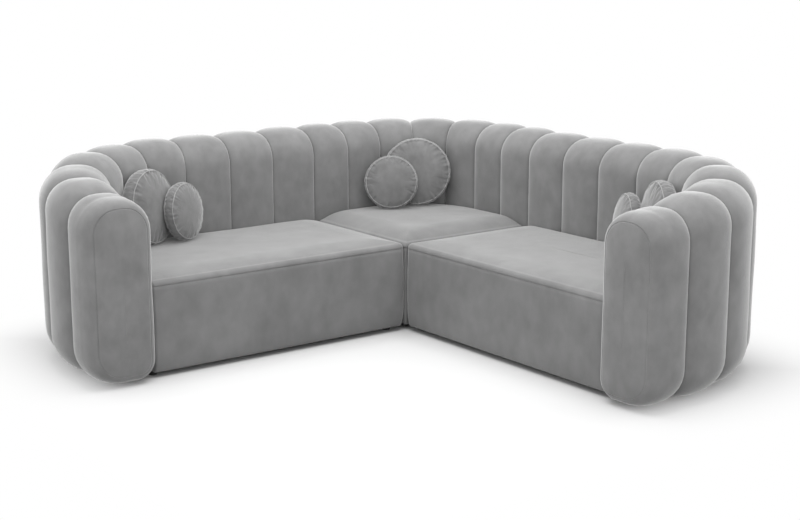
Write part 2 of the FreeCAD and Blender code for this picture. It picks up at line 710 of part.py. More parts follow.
left_wall = node(cut("left_wall", left_wall_frame(), left_wall_holes), "left_wall_frame")
left_base = node(cut("left_base", left_base_frame(), left_base_holes + [left_rounding]), "left_base_frame")
left_bolt_set = node(group("left_bolts", left_bolts), "left_frame_bolts")

corner_column = "corner_joint + 3 * batten_width"
corner_bolts, corner_base_holes, corner_wall_holes = bolts_and_holes("corner", [corner_column])
node(cut("corner_wall", corner_wall_frame(), both_sides(corner_wall_holes)), "corner_wall_frame")
node(cut("corner_base", corner_base_frame(), both_sides(corner_base_holes)), "corner_base_frame")
node(group("corner_bolt_set", both_sides(corner_bolts)), "corner_frame_bolts")


def strap(name, x, centre_x, centre_y, radius, far_side, front):
    """Webbing strap from the front board to the back or bend board."""
    reach = "(%s + base_reach)" % radius
    aside = "max(0; %s)" % far_side
    end = "%s + sqrt(%s ^ 2 - %s ^ 2)" % (centre_y, reach, aside)
    return box(name, x, x + " + strap_width", front, end, "deck_height", "deck_height + strap_thickness")


LEFT_STRAPS = 6
CORNER_STRAPS = 3
left_straps = []
for k in range(LEFT_STRAPS):
    x = "side_joint - (side_joint - arm_side) * %d / %d - strap_width / 2" % (k + 1, LEFT_STRAPS + 1)
    far_side = "arm_centre_x - (%s)" % x
    left_straps.append(strap("left_strap_%d" % k, x, *ARM_CENTRE, "arm_bend_radius", far_side, "base_front"))
left_webbing = node(group("left_straps", left_straps), "left_seat_webbing")

corner_straps = []
for k in range(CORNER_STRAPS):
    x = "corner_joint + (base_back - corner_joint) * %d / %d - strap_width / 2" % (k + 1, CORNER_STRAPS + 1)
    far_side = x + " + strap_width - corner_centre"
    corner_straps.append(strap("corner_strap_%d" % k, x, *CORNER_CENTRE, "corner_bend_radius", far_side,
                               "corner_joint + base_inset"))
node(group("corner_straps", corner_straps), "corner_seat_webbing")


# Glides: turned feet, some under the base and some under the wall frame.
def glide(name, x, y):
    item = doc.addObject("Part::Cone", name)
    bind(item, Radius1="glide_foot_radius", Radius2="glide_top_radius", Height="base_clearance")
    return place(item, x, y, "0")


WALL_MIDDLE = "inner_half + wall_thickness / 2"
LEFT_BATTEN_X = "side_joint - base_inset - board_thickness - batten_width / 2"
LEFT_BASE_GLIDES = [
    (LEFT_BATTEN_X, "base_front + glide_inset"),
    (LEFT_BATTEN_X, "base_back - glide_inset"),
    ("arm_side + base_inset + board_thickness / 2", "base_front + glide_inset"),
]
ARM_DIAGONAL = "(arm_bend_radius + wall_thickness / 2) * sqrt(0.5)"
CORNER_DIAGONAL = "corner_centre + (corner_bend_radius + wall_thickness / 2) * sqrt(0.5)"
LEFT_WALL_GLIDES = [
    ("side_joint - glide_inset", WALL_MIDDLE),
    ("arm_centre_x", WALL_MIDDLE),
    ("arm_centre_x - " + ARM_DIAGONAL, "arm_centre_y + " + ARM_DIAGONAL),
    ("-(%s)" % WALL_MIDDLE, "inner_half - arm_length + frame_front_foam + glide_inset"),
]
CORNER_BATTEN = "corner_joint + base_inset + board_thickness + batten_width / 2"
CORNER_BASE_GLIDES = [
    (CORNER_BATTEN, CORNER_BATTEN),
    (CORNER_BATTEN, "base_back - glide_inset"),
    ("base_back - glide_inset", CORNER_BATTEN),
]
CORNER_WALL_GLIDES = [
    ("corner_joint + glide_inset", WALL_MIDDLE),
    (WALL_MIDDLE, "corner_joint + glide_inset"),
    (CORNER_DIAGONAL, CORNER_DIAGONAL),
]


def glides(name, places):
    return group(name, [glide("%s_%d" % (name, k), x, y) for k, (x, y) in enumerate(places)])


left_glides = node(glides("left_glide", LEFT_BASE_GLIDES + LEFT_WALL_GLIDES), "left_glides")
node(glides("corner_glide", CORNER_BASE_GLIDES + CORNER_WALL_GLIDES), "corner_glides")


def dust_cover(name, sheets, places, cutters):
    """Thin sheet under the base, with a hole for each glide that passes it."""
    holes = list(cutters)
    for k, (x, y) in enumerate(places):
        holes.append(cylinder("%s_hole_%d" % (name, k), "glide_top_radius + 1", "base_clearance", x, y, "1"))
    return cut(name, fuse(name + "_sheet", sheets), holes)


left_sheets = [
    box("left_sheet_back", "arm_centre_x", "side_joint - base_inset", "base_front", "base_back",
        "sheet_bottom", LOW),
    box("left_sheet_arm", "arm_side + base_inset", "arm_centre_x", "base_front", "arm_centre_y",
        "sheet_bottom", LOW),
    sector("left_sheet_bend", "arm_bend_radius + base_reach", "90", "90", ARM_CENTRE, "sheet_bottom", LOW),
]
left_dust = node(dust_cover("left_dust", left_sheets, LEFT_BASE_GLIDES, [left_rounding]), "left_dust_cover")
CORNER_EDGE = "corner_joint + base_inset"
corner_sheets = [
    box("corner_sheet_a", CORNER_EDGE, "corner_centre", CORNER_EDGE, "base_back", "sheet_bottom", LOW),
    box("corner_sheet_b", "corner_centre", "base_back", CORNER_EDGE, "corner_centre", "sheet_bottom", LOW),
    sector("corner_sheet_bend", "corner_bend_radius + base_reach", "0", "90", CORNER_CENTRE,
           "sheet_bottom", LOW),
]
node(dust_cover("corner_dust", corner_sheets, CORNER_BASE_GLIDES, []), "corner_dust_cover")

# Connectors under the joints: a jaw on the side module grips a pin on the corner module.
CONNECTOR_ROWS = ["base_front + connector_inset", "base_back - connector_inset"]
PIN_TOP = "connector_pin_height + connector_pin_radius + jaw_clearance"
PIN_FOOT = "connector_pin_height - connector_pin_radius - jaw_clearance"


def jaw(name, y):
    """Steel jaw: plate under the batten, neck, and two prongs over the joint."""
    half = "jaw_width / 2"
    y0, y1 = "%s - %s" % (y, half), "%s + %s" % (y, half)
    tip = "joint_line + connector_reach"
    neck = "side_joint - bracket_length / 3"
    root = neck + " - connector_plate"
    tail = "side_joint - bracket_length - base_inset"
    foot = PIN_FOOT + " - connector_plate"
    return fuse(name, [
        box(name + "_plate", tail, neck, y0, y1, "plate_bottom", "sheet_bottom"),
        box(name + "_neck", root, neck, y0, y1, foot, "sheet_bottom"),
        box(name + "_upper", root, tip, y0, y1, PIN_TOP, PIN_TOP + " + connector_plate"),
        box(name + "_lower", root, tip, y0, y1, foot, PIN_FOOT),
    ])


def bracket(name, y):
    """Steel bracket: plate under the batten, two cheeks and the pin between them."""
    reach = "(jaw_width / 2 + cheek_clearance)"
    x0, x1 = "corner_joint + base_inset", "corner_joint + base_inset + bracket_length"
    cheek_start = "joint_line + connector_pin_inset - 2 * connector_pin_radius"
    foot = "connector_pin_height - connector_pin_radius - connector_plate"
    near = "%s - %s - connector_plate" % (y, reach)
    far = "%s + %s" % (y, reach)
    pieces = [box(name + "_plate", cheek_start, x1, near, far + " + connector_plate",
                  "plate_bottom", "sheet_bottom")]
    for tag, start in [("a", near), ("b", far)]:
        pieces.append(box(name + "_cheek_" + tag, cheek_start, x0 + " + bracket_length / 3",
                          start, start + " + connector_plate", foot, "sheet_bottom"))
    pieces.append(cylinder(name + "_pin", "connector_pin_radius", "2 * " + reach + " + connector_plate",
                           "joint_line + connector_pin_inset", near + " + connector_plate / 2",
                           "connector_pin_height", TOWARDS_BACK))
    return fuse(name, pieces)


left_jaws = node(group("left_jaw_set", [jaw("left_jaw_%d" % k, y) for k, y in enumerate(CONNECTOR_ROWS)]),
                 "left_connector_jaws")
brackets = [bracket("bracket_%d" % k, y) for k, y in enumerate(CONNECTOR_ROWS)]
node(group("bracket_set", both_sides(brackets)), "corner_connector_pins")

doc.recompute()


# Round scatter cushions: two domed faces and a full side band, drawn in where they are sewn.
# In a constraint 1 is a curve's start, 2 its end, 3 its centre, and -1 and -2 are the sketch's axes.
def arc_through(centre, start, end):
    """Arc that runs anticlockwise about a centre."""
    radius = centre.distanceToPoint(start)
    first = math.atan2(start.y - centre.y, start.x - centre.x)
    last = math.atan2(end.y - centre.y, end.x - centre.x)
    return Part.ArcOfCircle(Part.Circle(centre, Vector(0, 0, 1), radius), first, last)


def cushion_profile(sketch, radius, depth):
    """Half section of a cushion, beside its upright axis."""
    rim = size(radius) - size("cushion_draw")
    half = size(depth) / 2
    edge = half - size("cushion_dome")
    drop = (rim ** 2 + size("cushion_dome") ** 2) / (2 * size("cushion_dome"))
    swell = (edge ** 2 + size("cushion_draw") ** 2) / (2 * size("cushion_draw"))
    top, upper, lower, bottom = Vector(0, half), Vector(rim, edge), Vector(rim, -edge), Vector(0, -half)
    front = sketch.addGeometry(arc_through(Vector(0, half - drop), upper, top))
    band = sketch.addGeometry(arc_through(Vector(size(radius) - swell, 0), lower, upper))
    back = sketch.addGeometry(arc_through(Vector(0, drop - half), bottom, lower))
    axis = sketch.addGeometry(Part.LineSegment(bottom, top))
    for joint in [(front, 1, band, 2), (band, 1, back, 2), (back, 1, axis, 1), (front, 2, axis, 2)]:
        sketch.addConstraint(Sketcher.Constraint("Coincident", *joint))
    for arc in (front, back):
        sketch.addConstraint(Sketcher.Constraint("PointOnObject", arc, 3, -2))
    sketch.addConstraint(Sketcher.Constraint("PointOnObject", front, 2, -2))
    sketch.addConstraint(Sketcher.Constraint("Symmetric", front, 2, back, 1, -1))
    sketch.addConstraint(Sketcher.Constraint("Symmetric", front, 1, back, 2, -1))
    measures = [
        (Sketcher.Constraint("DistanceY", -1, 1, front, 2, half), depth + " / 2"),
        (Sketcher.Constraint("DistanceX", -1, 1, front, 1, rim), radius + " - cushion_draw"),
        (Sketcher.Constraint("DistanceY", -1, 1, front, 1, edge), depth + " / 2 - cushion_dome"),
        (Sketcher.Constraint("Radius", band, swell),
         "((%s / 2 - cushion_dome) ^ 2 + cushion_draw ^ 2) / (2 * cushion_draw)" % depth),
    ]
    for constraint, formula in measures:
        number = sketch.addConstraint(constraint)
        sketch.setExpression("Constraints[%d]" % number, linked(formula))


def cushion(name, radius, depth):
    """Turned form whose axis is its own Z."""
    body = doc.addObject("PartDesign::Body", name)
    plane = [part for part in body.Origin.OriginFeatures if part.Role == "XZ_Plane"][0]
    sketch = body.newObject("Sketcher::SketchObject", name + "_profile")
    sketch.AttachmentSupport = [(plane, "")]
    sketch.MapMode = "FlatFace"
    cushion_profile(sketch, radius, depth)
    turned = body.newObject("PartDesign::Revolution", name + "_turned")
    turned.Profile = sketch
    turned.ReferenceAxis = (sketch, ["V_Axis"])
    turned.Angle = 360
    doc.recompute()
    return body


def cushion_points(radius, depth):
    """Points all over a cushion, with its axis along Z."""
    rim = size(radius) - size("cushion_draw")
    edge = size(depth) / 2 - size("cushion_dome")
    swell = (edge ** 2 + size("cushion_draw") ** 2) / (2 * size("cushion_draw"))
    reach = math.asin(edge / swell)
    profile = []
    for k in range(-4, 5):
        angle = reach * k / 4
        profile.append((size(radius) - swell + swell * math.cos(angle), swell * math.sin(angle)))
    for k in range(4):
        share = k / 4
        height = edge + size("cushion_dome") * (1 - share ** 2)
        profile += [(rim * share, height), (rim * share, -height)]
    turns = [math.radians(2 * k) for k in range(180)]
    return [Vector(r * math.cos(a), r * math.sin(a), z) for r, z in profile for a in turns]


def slide_back(points, front, room):
    """Distance that points can slide backwards before the room behind them is used up."""
    low, high = 0.0, 4 * size("big_cushion_radius")
    for _ in range(30):
        middle = (low + high) / 2
        if min(room(point - front * middle) for point in points) > gap:
            low = middle
        else:
            high = middle
    return low


def settle(body, points, start, spot):
    """Stand a cushion on a seat and lean it on the wall behind."""
    turn, tilt = math.radians(spot["facing"]), math.radians(spot["lean"])
    front = Vector(math.cos(turn), math.sin(turn), 0)
    turned = Rotation(Vector(0, 0, 1), front * math.cos(tilt) + Vector(0, 0, math.sin(tilt)))
    placed = [turned.multVec(point) for point in points]
    start.z = spot["floor"] + gap - min(point.z for point in placed)
    placed = [point + start for point in placed]
    place_at = start - front * slide_back(placed, front, spot["line"].room)
    body.Placement = Placement(place_at, turned)
    return place_at, front


def beside(centre, distance, degrees):
    """Point at a distance and direction from an upright axis."""
    turn = math.radians(degrees)
    return centre + Vector(distance * math.cos(turn), distance * math.sin(turn), 0)


def lean_on(body, front, other):
    """Slide a cushion back, in ever smaller steps, until it lies a soft gap from another."""
    for _ in range(12):
        room = body.Shape.distToShape(other.Shape)[0] - gap
        body.Placement = Placement(body.Placement.Base - front * room, body.Placement.Rotation)


def cushion_pair(name, spot):
    """Big cushion against the bend, and a small one that leans on it, a little to one side."""
    line = spot["line"]
    big = cushion(name + "_big_cushion", "big_cushion_radius", "big_cushion_depth")
    start = beside(line.centre, line.radius - 2 * size("big_cushion_radius"), spot["angle"])
    points = cushion_points("big_cushion_radius", "big_cushion_depth")
    big_centre, front = settle(big, points, start, spot)
    small = cushion(name + "_small_cushion", "small_cushion_radius", "small_cushion_depth")
    ahead = beside(big_centre, 2 * size("big_cushion_depth"), spot["facing"])
    ahead = beside(ahead, spot["shift"], spot["facing"] + 90)
    points = cushion_points("small_cushion_radius", "small_cushion_depth")
    wall_base, front = settle(small, points, ahead, spot)
    small.Placement = Placement(ahead, small.Placement.Rotation)
    lean_on(small, front, big)
    if (small.Placement.Base - wall_base).dot(front) < 0:
        small.Placement = Placement(wall_base, small.Placement.Rotation)
    return node(big, name + "_big_cushion"), node(small, name + "_small_cushion")


def cushion_spot(name, line, crown):
    """Where a pair of cushions stands and how it is turned."""
    spot = {key: size("%s_cushion_%s" % (name, key)) for key in ("angle", "facing", "shift", "lean")}
    spot["line"] = line
    spot["floor"] = size("seat_height") + crown
    return spot


left_big, left_small = cushion_pair("left", cushion_spot("arm", left_line, size("side_seat_crown")))
cushion_pair("corner", cushion_spot("corner", corner_line, size("corner_seat_crown")))

# Right module: every piece of the left module, mirrored.
left_pieces = left_ribs + [left_panel, left_cover, left_foam, left_wall, left_base, left_bolt_set,
                           left_webbing, left_glides, left_dust, left_jaws, left_big, left_small]
for item in left_pieces:
    name = item.Label.replace("left_", "right_")
    node(mirrored(item, name + "_twin"), name)

doc.recompute()
for item in doc.Objects:
    if "Invalid" in item.State or "Error" in item.State:
        raise RuntimeError("%s failed: %s" % (item.Name, item.State))
for item in NODES:
    if item.Shape.isNull() or not item.Shape.isValid():
        raise RuntimeError("%s has no valid shape" % item.Label)

os.makedirs("parts", exist_ok=True)
for item in NODES:
    item.Shape.exportStep(os.path.join("parts", item.Label + ".step"))
print("%d sub-parts" % len(NODES))
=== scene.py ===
# %% [markdown]
# # A channelled velvet corner sofa
#
# This lesson dresses the fixed frame of a corner sofa: twenty-five fat upright channels,
# three seats and six round cushions, all in grey velvet. The frame holds every piece at
# its real size. Here each soft piece gets its true surface, and each surface its finish.

# %% Load the frame
import math

import bmesh
import bpy
import numpy as np
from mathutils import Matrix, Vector, noise


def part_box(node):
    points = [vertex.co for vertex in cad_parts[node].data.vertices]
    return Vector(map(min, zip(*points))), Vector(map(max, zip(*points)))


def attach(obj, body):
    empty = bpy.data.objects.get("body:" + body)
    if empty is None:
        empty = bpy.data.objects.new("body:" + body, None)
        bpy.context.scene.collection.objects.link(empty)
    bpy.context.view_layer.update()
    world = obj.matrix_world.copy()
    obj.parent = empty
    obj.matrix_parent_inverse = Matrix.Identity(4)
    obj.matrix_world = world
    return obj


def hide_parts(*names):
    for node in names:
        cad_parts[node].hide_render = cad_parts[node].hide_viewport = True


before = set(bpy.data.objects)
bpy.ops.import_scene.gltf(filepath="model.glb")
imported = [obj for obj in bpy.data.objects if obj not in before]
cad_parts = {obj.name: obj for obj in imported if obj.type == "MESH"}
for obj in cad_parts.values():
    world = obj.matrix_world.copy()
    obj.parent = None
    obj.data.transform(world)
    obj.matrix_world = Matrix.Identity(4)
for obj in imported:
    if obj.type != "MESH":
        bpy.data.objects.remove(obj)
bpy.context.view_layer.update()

# %% [markdown]
# ## Camera
#
# The camera's place was found by matching the seat fronts, the joint lines and the crest
# of the back with the picture. A long lens, far away, keeps the two wings almost the same
# size. A direction is turned into a place with sines and cosines round the aim point.

# %% Camera
PICTURE_WIDTH, PICTURE_HEIGHT = 800, 520
FOCAL_PIXELS = 1471.7
SENSOR = 36.0
AIM = Vector((0.1298, 0.1196, 0.3907))
AZIMUTH, ELEVATION = math.radians(-36.93), math.radians(12.35)
DISTANCE = 6.6585


def make_camera():
    """Camera at the picture's angle, with no depth of field."""
    lens = bpy.data.cameras.new("studio_camera")
    lens.sensor_width = SENSOR
    lens.lens = FOCAL_PIXELS * SENSOR / PICTURE_WIDTH
    camera = bpy.data.objects.new("studio_camera", lens)
    back = Vector((math.sin(AZIMUTH) * math.cos(ELEVATION),
                   -math.cos(AZIMUTH) * math.cos(ELEVATION), math.sin(ELEVATION)))
    camera.location = AIM + back * DISTANCE
    camera.rotation_mode = "QUATERNION"
    camera.rotation_quaternion = (-back).to_track_quat("-Z", "Y")
    bpy.context.collection.objects.link(camera)
    bpy.context.scene.camera = camera


make_camera()
bpy.context.scene.view_settings.view_transform = "Standard"
print("camera", PICTURE_WIDTH, "x", PICTURE_HEIGHT)

# %% [markdown]
# ## Shader groups
#
# Several finishes share an effect: a nap that lies lighter here and darker there, a fine
# pile, a grain. Each effect is one node group with named inputs, so that a material only
# has to say how large and how strong. A small helper lays nodes and links them in a line.

# %% Node helpers
def new_group(name, inputs, outputs):
    """Empty shader group with number inputs and named outputs."""
    group = bpy.data.node_groups.new(name, "ShaderNodeTree")
    for label, value in inputs.items():
        socket = group.interface.new_socket(name=label, in_out="INPUT", socket_type="NodeSocketFloat")
        socket.default_value = value
    for label in outputs:
        group.interface.new_socket(name=label, in_out="OUTPUT", socket_type="NodeSocketFloat")
    return group, group.nodes.new("NodeGroupInput"), group.nodes.new("NodeGroupOutput")


def add(tree, kind, **settings):
    """Add a node and set its properties."""
    item = tree.nodes.new(kind)
    for key, value in settings.items():
        setattr(item, key, value)
    return item


def join(tree, source, target):
    """Link one socket to another."""
    tree.links.new(source, target)


def maths(tree, operation, first, second):
    """Number node whose two inputs are numbers or sockets."""
    item = add(tree, "ShaderNodeMath", operation=operation)
    for place, value in enumerate((first, second)):
        if isinstance(value, (int, float)):
            item.inputs[place].default_value = value
        else:
            join(tree, value, item.inputs[place])
    return item.outputs[0]


def noise_value(tree, scale, detail, stretch=(1, 1, 1), offset=(0, 0, 0)):
    """Soft noise over the object's own coordinates."""
    where = add(tree, "ShaderNodeTexCoord")
    mapping = add(tree, "ShaderNodeMapping")
    mapping.inputs["Scale"].default_value = stretch
    mapping.inputs["Location"].default_value = offset
    join(tree, where.outputs["Object"], mapping.inputs["Vector"])
    grain = add(tree, "ShaderNodeTexNoise")
    grain.inputs["Detail"].default_value = detail
    if isinstance(scale, (int, float)):
        grain.inputs["Scale"].default_value = scale
    else:
        join(tree, scale, grain.inputs["Scale"])
    join(tree, mapping.outputs["Vector"], grain.inputs["Vector"])
    return grain.outputs["Fac"]


# %% [markdown]
# ### The nap and the pile
#
# Velvet is never one grey. Hands and hoovers push the pile over, so patches look lighter
# or darker with soft borders. Wide clouds are mixed with smaller smears for that.
# The pile itself is far too fine to model, so it is a bump of a fraction of a millimetre.

# %% Nap group
SMEAR_FINENESS, SMEAR_STRETCH, SMEAR_OFFSET = 3.1, (1.1, 1.1, 0.8), (3.1, 7.7, 1.9)
CLOUD_SHARE, SMEAR_SHARE = 0.55, 0.45
COARSE_FINENESS, FUZZ_SHARE, COARSE_SHARE = 0.12, 0.6, 0.4


def make_nap():
    """Shade about 1 that varies like brushed velvet."""
    tree, inside, outside = new_group("brushed_nap", {"Cloud Scale": 4.0, "Strength": 0.2}, ["Shade"])
    clouds = noise_value(tree, inside.outputs["Cloud Scale"], 2.0)
    smear_scale = maths(tree, "MULTIPLY", inside.outputs["Cloud Scale"], SMEAR_FINENESS)
    smears = noise_value(tree, smear_scale, 3.0, stretch=SMEAR_STRETCH, offset=SMEAR_OFFSET)
    wide = maths(tree, "MULTIPLY", clouds, CLOUD_SHARE)
    narrow = maths(tree, "MULTIPLY", smears, SMEAR_SHARE)
    centred = maths(tree, "SUBTRACT", maths(tree, "ADD", wide, narrow), 0.5)
    varied = maths(tree, "MULTIPLY", centred, inside.outputs["Strength"])
    join(tree, maths(tree, "ADD", varied, 1.0), outside.inputs["Shade"])
    return tree


def make_pile():
    """Fine height for the pile, with the faint ribs of the cloth under it."""
    tree, inside, outside = new_group("fine_pile", {"Pile Scale": 900.0}, ["Height"])
    fuzz = noise_value(tree, inside.outputs["Pile Scale"], 2.0)
    coarse_scale = maths(tree, "MULTIPLY", inside.outputs["Pile Scale"], COARSE_FINENESS)
    coarse = noise_value(tree, coarse_scale, 2.0, offset=(1.7, 0.4, 5.2))
    fuzz_part = maths(tree, "MULTIPLY", fuzz, FUZZ_SHARE)
    coarse_part = maths(tree, "MULTIPLY", coarse, COARSE_SHARE)
    join(tree, maths(tree, "ADD", fuzz_part, coarse_part), outside.inputs["Height"])
    return tree


NAP, PILE = make_nap(), make_pile()
print("groups", NAP.name, PILE.name)

# %% [markdown]
# ### Velvet
#
# The bright edges on every rounded channel are sheen: light that the upright fibres send
# back when they are seen from the side. The shader has a socket for it. Colour comes from
# the nap, written as one grey times the shade, and roughness stays high.

# %% Velvet material
PILE_SCALE, PILE_DEPTH = 900.0, 0.0004
VELVET_ROUGHNESS, VELVET_SPECULAR = 0.85, 0.2
SHEEN_WEIGHT, SHEEN_ROUGHNESS = 1.0, 0.38


def group_node(tree, group, **values):
    """Place a shared group and set its inputs."""
    item = add(tree, "ShaderNodeGroup", node_tree=group)
    for key, value in values.items():
        item.inputs[key.replace("_", " ")].default_value = value
    return item


def bare_material(name):
    """Material with a Principled shader, and the tree and shader to work on."""
    material = bpy.data.materials.new(name)
    material.use_nodes = True
    tree = material.node_tree
    return material, tree, tree.nodes["Principled BSDF"]


def shaded_colour(tree, shader, colour, shade):
    """Base colour times a shade that varies."""
    tint = add(tree, "ShaderNodeVectorMath", operation="SCALE")
    tint.inputs[0].default_value = colour
    join(tree, shade, tint.inputs["Scale"])
    join(tree, tint.outputs[0], shader.inputs["Base Color"])


def bump(tree, shader, height, distance, strength=1.0):
    """Small relief, its depth in metres."""
    relief = add(tree, "ShaderNodeBump")
    relief.inputs["Distance"].default_value = distance
    relief.inputs["Strength"].default_value = strength
    join(tree, height, relief.inputs["Height"])
    join(tree, relief.outputs["Normal"], shader.inputs["Normal"])


def velvet(name, grey, cloud_scale, strength):
    """Short-pile velvet in one grey."""
    material, tree, shader = bare_material(name)
    nap = group_node(tree, NAP, Cloud_Scale=cloud_scale, Strength=strength)
    shaded_colour(tree, shader, (grey, grey, grey), nap.outputs["Shade"])
    pile = group_node(tree, PILE, Pile_Scale=PILE_SCALE)
    bump(tree, shader, pile.outputs["Height"], PILE_DEPTH)
    shader.inputs["Roughness"].default_value = VELVET_ROUGHNESS
    shader.inputs["Specular IOR Level"].default_value = VELVET_SPECULAR
    shader.inputs["Sheen Weight"].default_value = SHEEN_WEIGHT
    shader.inputs["Sheen Roughness"].default_value = SHEEN_ROUGHNESS
    return material


CHANNEL_VELVET = velvet("channel_velvet", 0.205, 6.0, 0.85)
SEAT_VELVET = velvet("seat_velvet", 0.205, 4.6, 0.85)
CUSHION_VELVET = velvet("cushion_velvet", 0.19, 9.0, 1.0)
# The rims are a much lighter grey than the cushions: painted sheen, for the bright line that sheen draws
# along each sewn rim.
RIM_VELVET_PAINTED_SHEEN = velvet("rim_velvet_painted_sheen", 0.34, 9.0, 0.5)
print("velvet finishes", CHANNEL_VELVET.name, SEAT_VELVET.name, CUSHION_VELVET.name, RIM_VELVET_PAINTED_SHEEN.name)

# %% [markdown]
# ## Surfaces from rows of points
#
# A channel, a seat and a cushion are all the same kind of surface: rows of points joined
# into four-sided faces. One helper turns an array of rows into a mesh. Its points come
# from formulas in metres, so a piece lands where the frame says without any fitting.

# %% Mesh from rows
def rows_to_mesh(name, rows, close_ends=True, flip=False):
    """Tube of closed loops: rows of shape (loops, points, 3), with a face over each end."""
    rows = np.asarray(rows, float)
    count, around = rows.shape[:2]
    vertices = rows.reshape(-1, 3)
    first = np.arange(count - 1)[:, None] * around + np.arange(around)[None, :]
    beside = np.arange(count - 1)[:, None] * around + (np.arange(around)[None, :] + 1) % around
    faces = np.stack([first, beside, beside + around, first + around], axis=-1).reshape(-1, 4)
    faces = faces.tolist()
    if close_ends:
        faces.append(list(range(around))[::-1])
        faces.append(list(range((count - 1) * around, count * around)))
    if flip:
        faces = [face[::-1] for face in faces]
    mesh = bpy.data.meshes.new(name)
    mesh.from_pydata(vertices.tolist(), [], faces)
    mesh.validate()
    mesh.polygons.foreach_set("use_smooth", [True] * len(mesh.polygons))
    piece = bpy.data.objects.new(name, mesh)
    bpy.context.collection.objects.link(piece)
    return piece


def points_of(mesh):
    """Places of all points of a mesh, one row each."""
    points = np.empty(len(mesh.vertices) * 3)
    mesh.vertices.foreach_get("co", points)
    return points.reshape(-1, 3)


def dress(piece, body, node, material):
    """Hang a piece on the body it rides on, give it its material and hide the frame node it stands for.
    """
    piece.data.materials.append(material)
    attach(piece, body)
    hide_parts(node)
    return piece


SIDES, WINGS = ("left", "corner", "right"), ("left", "right")


def mirrored_rows(rows):
    """The right wing is the left wing with X and Y exchanged."""
    return np.asarray(rows)[..., [1, 0, 2]]


def unevenness(points, size, depth, seed):
    """Smooth random offsets, one for each point."""
    flat = np.asarray(points).reshape(-1, 3)
    shift = Vector((seed, seed * 1.7, seed * 0.6))
    values = [noise.noise(Vector(point) / size + shift) for point in flat]
    return depth * np.array(values).reshape(np.asarray(points).shape[:-1])


# %% [markdown]
# ## The line of the wall
#
# The back and the arms are one wall. Seen from above, its inner crease line runs straight,
# turns a quarter circle and runs straight again. A function that gives the point and the
# outward direction for any distance along that line is all that the channels need.

# %% Sizes of the wall
SEAT_DEPTH, SIDE_WIDTH, SEAT_HEIGHT = 0.76, 1.34, 0.42
WALL, BULGE = 0.27, 0.022
INNER = (SEAT_DEPTH + SIDE_WIDTH) / 2
JOINT = INNER - SEAT_DEPTH
HALF_GAP = 0.0003
ARM_BEND, CORNER_BEND = 0.545, 0.402
CORNER_SPACING = 0.085
ARM_LENGTH = 0.807
RIB_PITCH, END_WIDTH = 0.243, 0.204
BACK_CREST = 0.86
ARM_CRESTS = (0.857, 0.852, 0.823, 0.807, 0.766)


class WallRun:
    """Inner crease line of one wing or of the corner."""

    def __init__(self, side, straight, radius, spacing, end):
        self.side, self.straight, self.radius = side, straight, radius
        self.spacing = radius + spacing
        self.centre = np.array([JOINT + side * straight, INNER - radius, 0.0])
        self.length = straight + self.spacing * math.pi / 2 + end

    def at(self, run):
        """Point on the line and the way out of the room."""
        turned = min(max((run - self.straight) / self.spacing, 0.0), math.pi / 2)
        out = np.array([self.side * math.sin(turned), math.cos(turned), 0.0])
        point = self.centre + out * self.radius
        point[0] -= self.side * max(self.straight - run, 0.0)
        point[1] -= max(run - self.straight - self.spacing * math.pi / 2, 0.0)
        return point, out


left_run = WallRun(-1, SIDE_WIDTH - ARM_BEND, ARM_BEND, WALL / 2, ARM_LENGTH - ARM_BEND)
corner_run = WallRun(1, SEAT_DEPTH - CORNER_BEND, CORNER_BEND, CORNER_SPACING, SEAT_DEPTH - CORNER_BEND)
bend_pitch = (left_run.length - 4 * RIB_PITCH - END_WIDTH) / 4
left_creases = [HALF_GAP] + [k * RIB_PITCH for k in range(1, 5)]
left_creases += [left_creases[4] + k * bend_pitch for k in range(1, 5)] + [left_run.length]
left_middles = [(a + b) / 2 for a, b in zip(left_creases, left_creases[1:])]
left_crests = [BACK_CREST] * 4 + list(ARM_CRESTS)
corner_creases = [k * corner_run.length / 7 for k in range(8)]
corner_creases[0] += HALF_GAP
corner_creases[7] -= HALF_GAP
print("left wing", round(left_run.length, 3), "m of channels, corner", round(corner_run.length, 3), "m")

# %% [markdown]
# ## The section of a channel
#
# Cut across, the wall is a tall arch: two upright sides, round shoulders and a rounded
# outer foot, open below for the timber frame. The inner leg stops behind the seat. The
# whole outline can be grown by a distance, which is how a channel swells between creases.

# %% Section
SHOULDER, OUTER_FOOT, INNER_FOOT = 0.118, 0.13, 0.07
FOOT, TUCK = 0.03, 0.3
FRAME_THICKNESS, FRAME_DROP = 0.06, 0.108
SLOT_IN = (WALL - FRAME_THICKNESS) / 2 - HALF_GAP
SLOT_OUT = (WALL + FRAME_THICKNESS) / 2 + HALF_GAP
ARC_STEPS, SIDE_STEPS = 9, 12


def arc(centre, radius, start, steps=ARC_STEPS):
    """Quarter circle, clockwise seen with the room on the left."""
    angles = np.linspace(start, start - math.pi / 2, steps)
    return [(centre[0] + radius * math.cos(a), centre[1] + radius * math.sin(a)) for a in angles]


def line(start, end, steps):
    """Points between two ends, without the ends."""
    shares = np.linspace(0, 1, steps + 1)[1:-1]
    return [(start[0] + (end[0] - start[0]) * s, start[1] + (end[1] - start[1]) * s) for s in shares]


def arch(crest, grow):
    """The shown part: up the inner side, over the top and down to the outer foot."""
    inner_top = arc((SHOULDER, crest - SHOULDER), SHOULDER + grow, math.pi)
    outer_top = arc((WALL - SHOULDER, crest - SHOULDER), SHOULDER + grow, math.pi / 2)
    outer_foot = arc((WALL - OUTER_FOOT, FOOT + OUTER_FOOT), OUTER_FOOT + grow, 0)
    return inner_top, outer_top, outer_foot


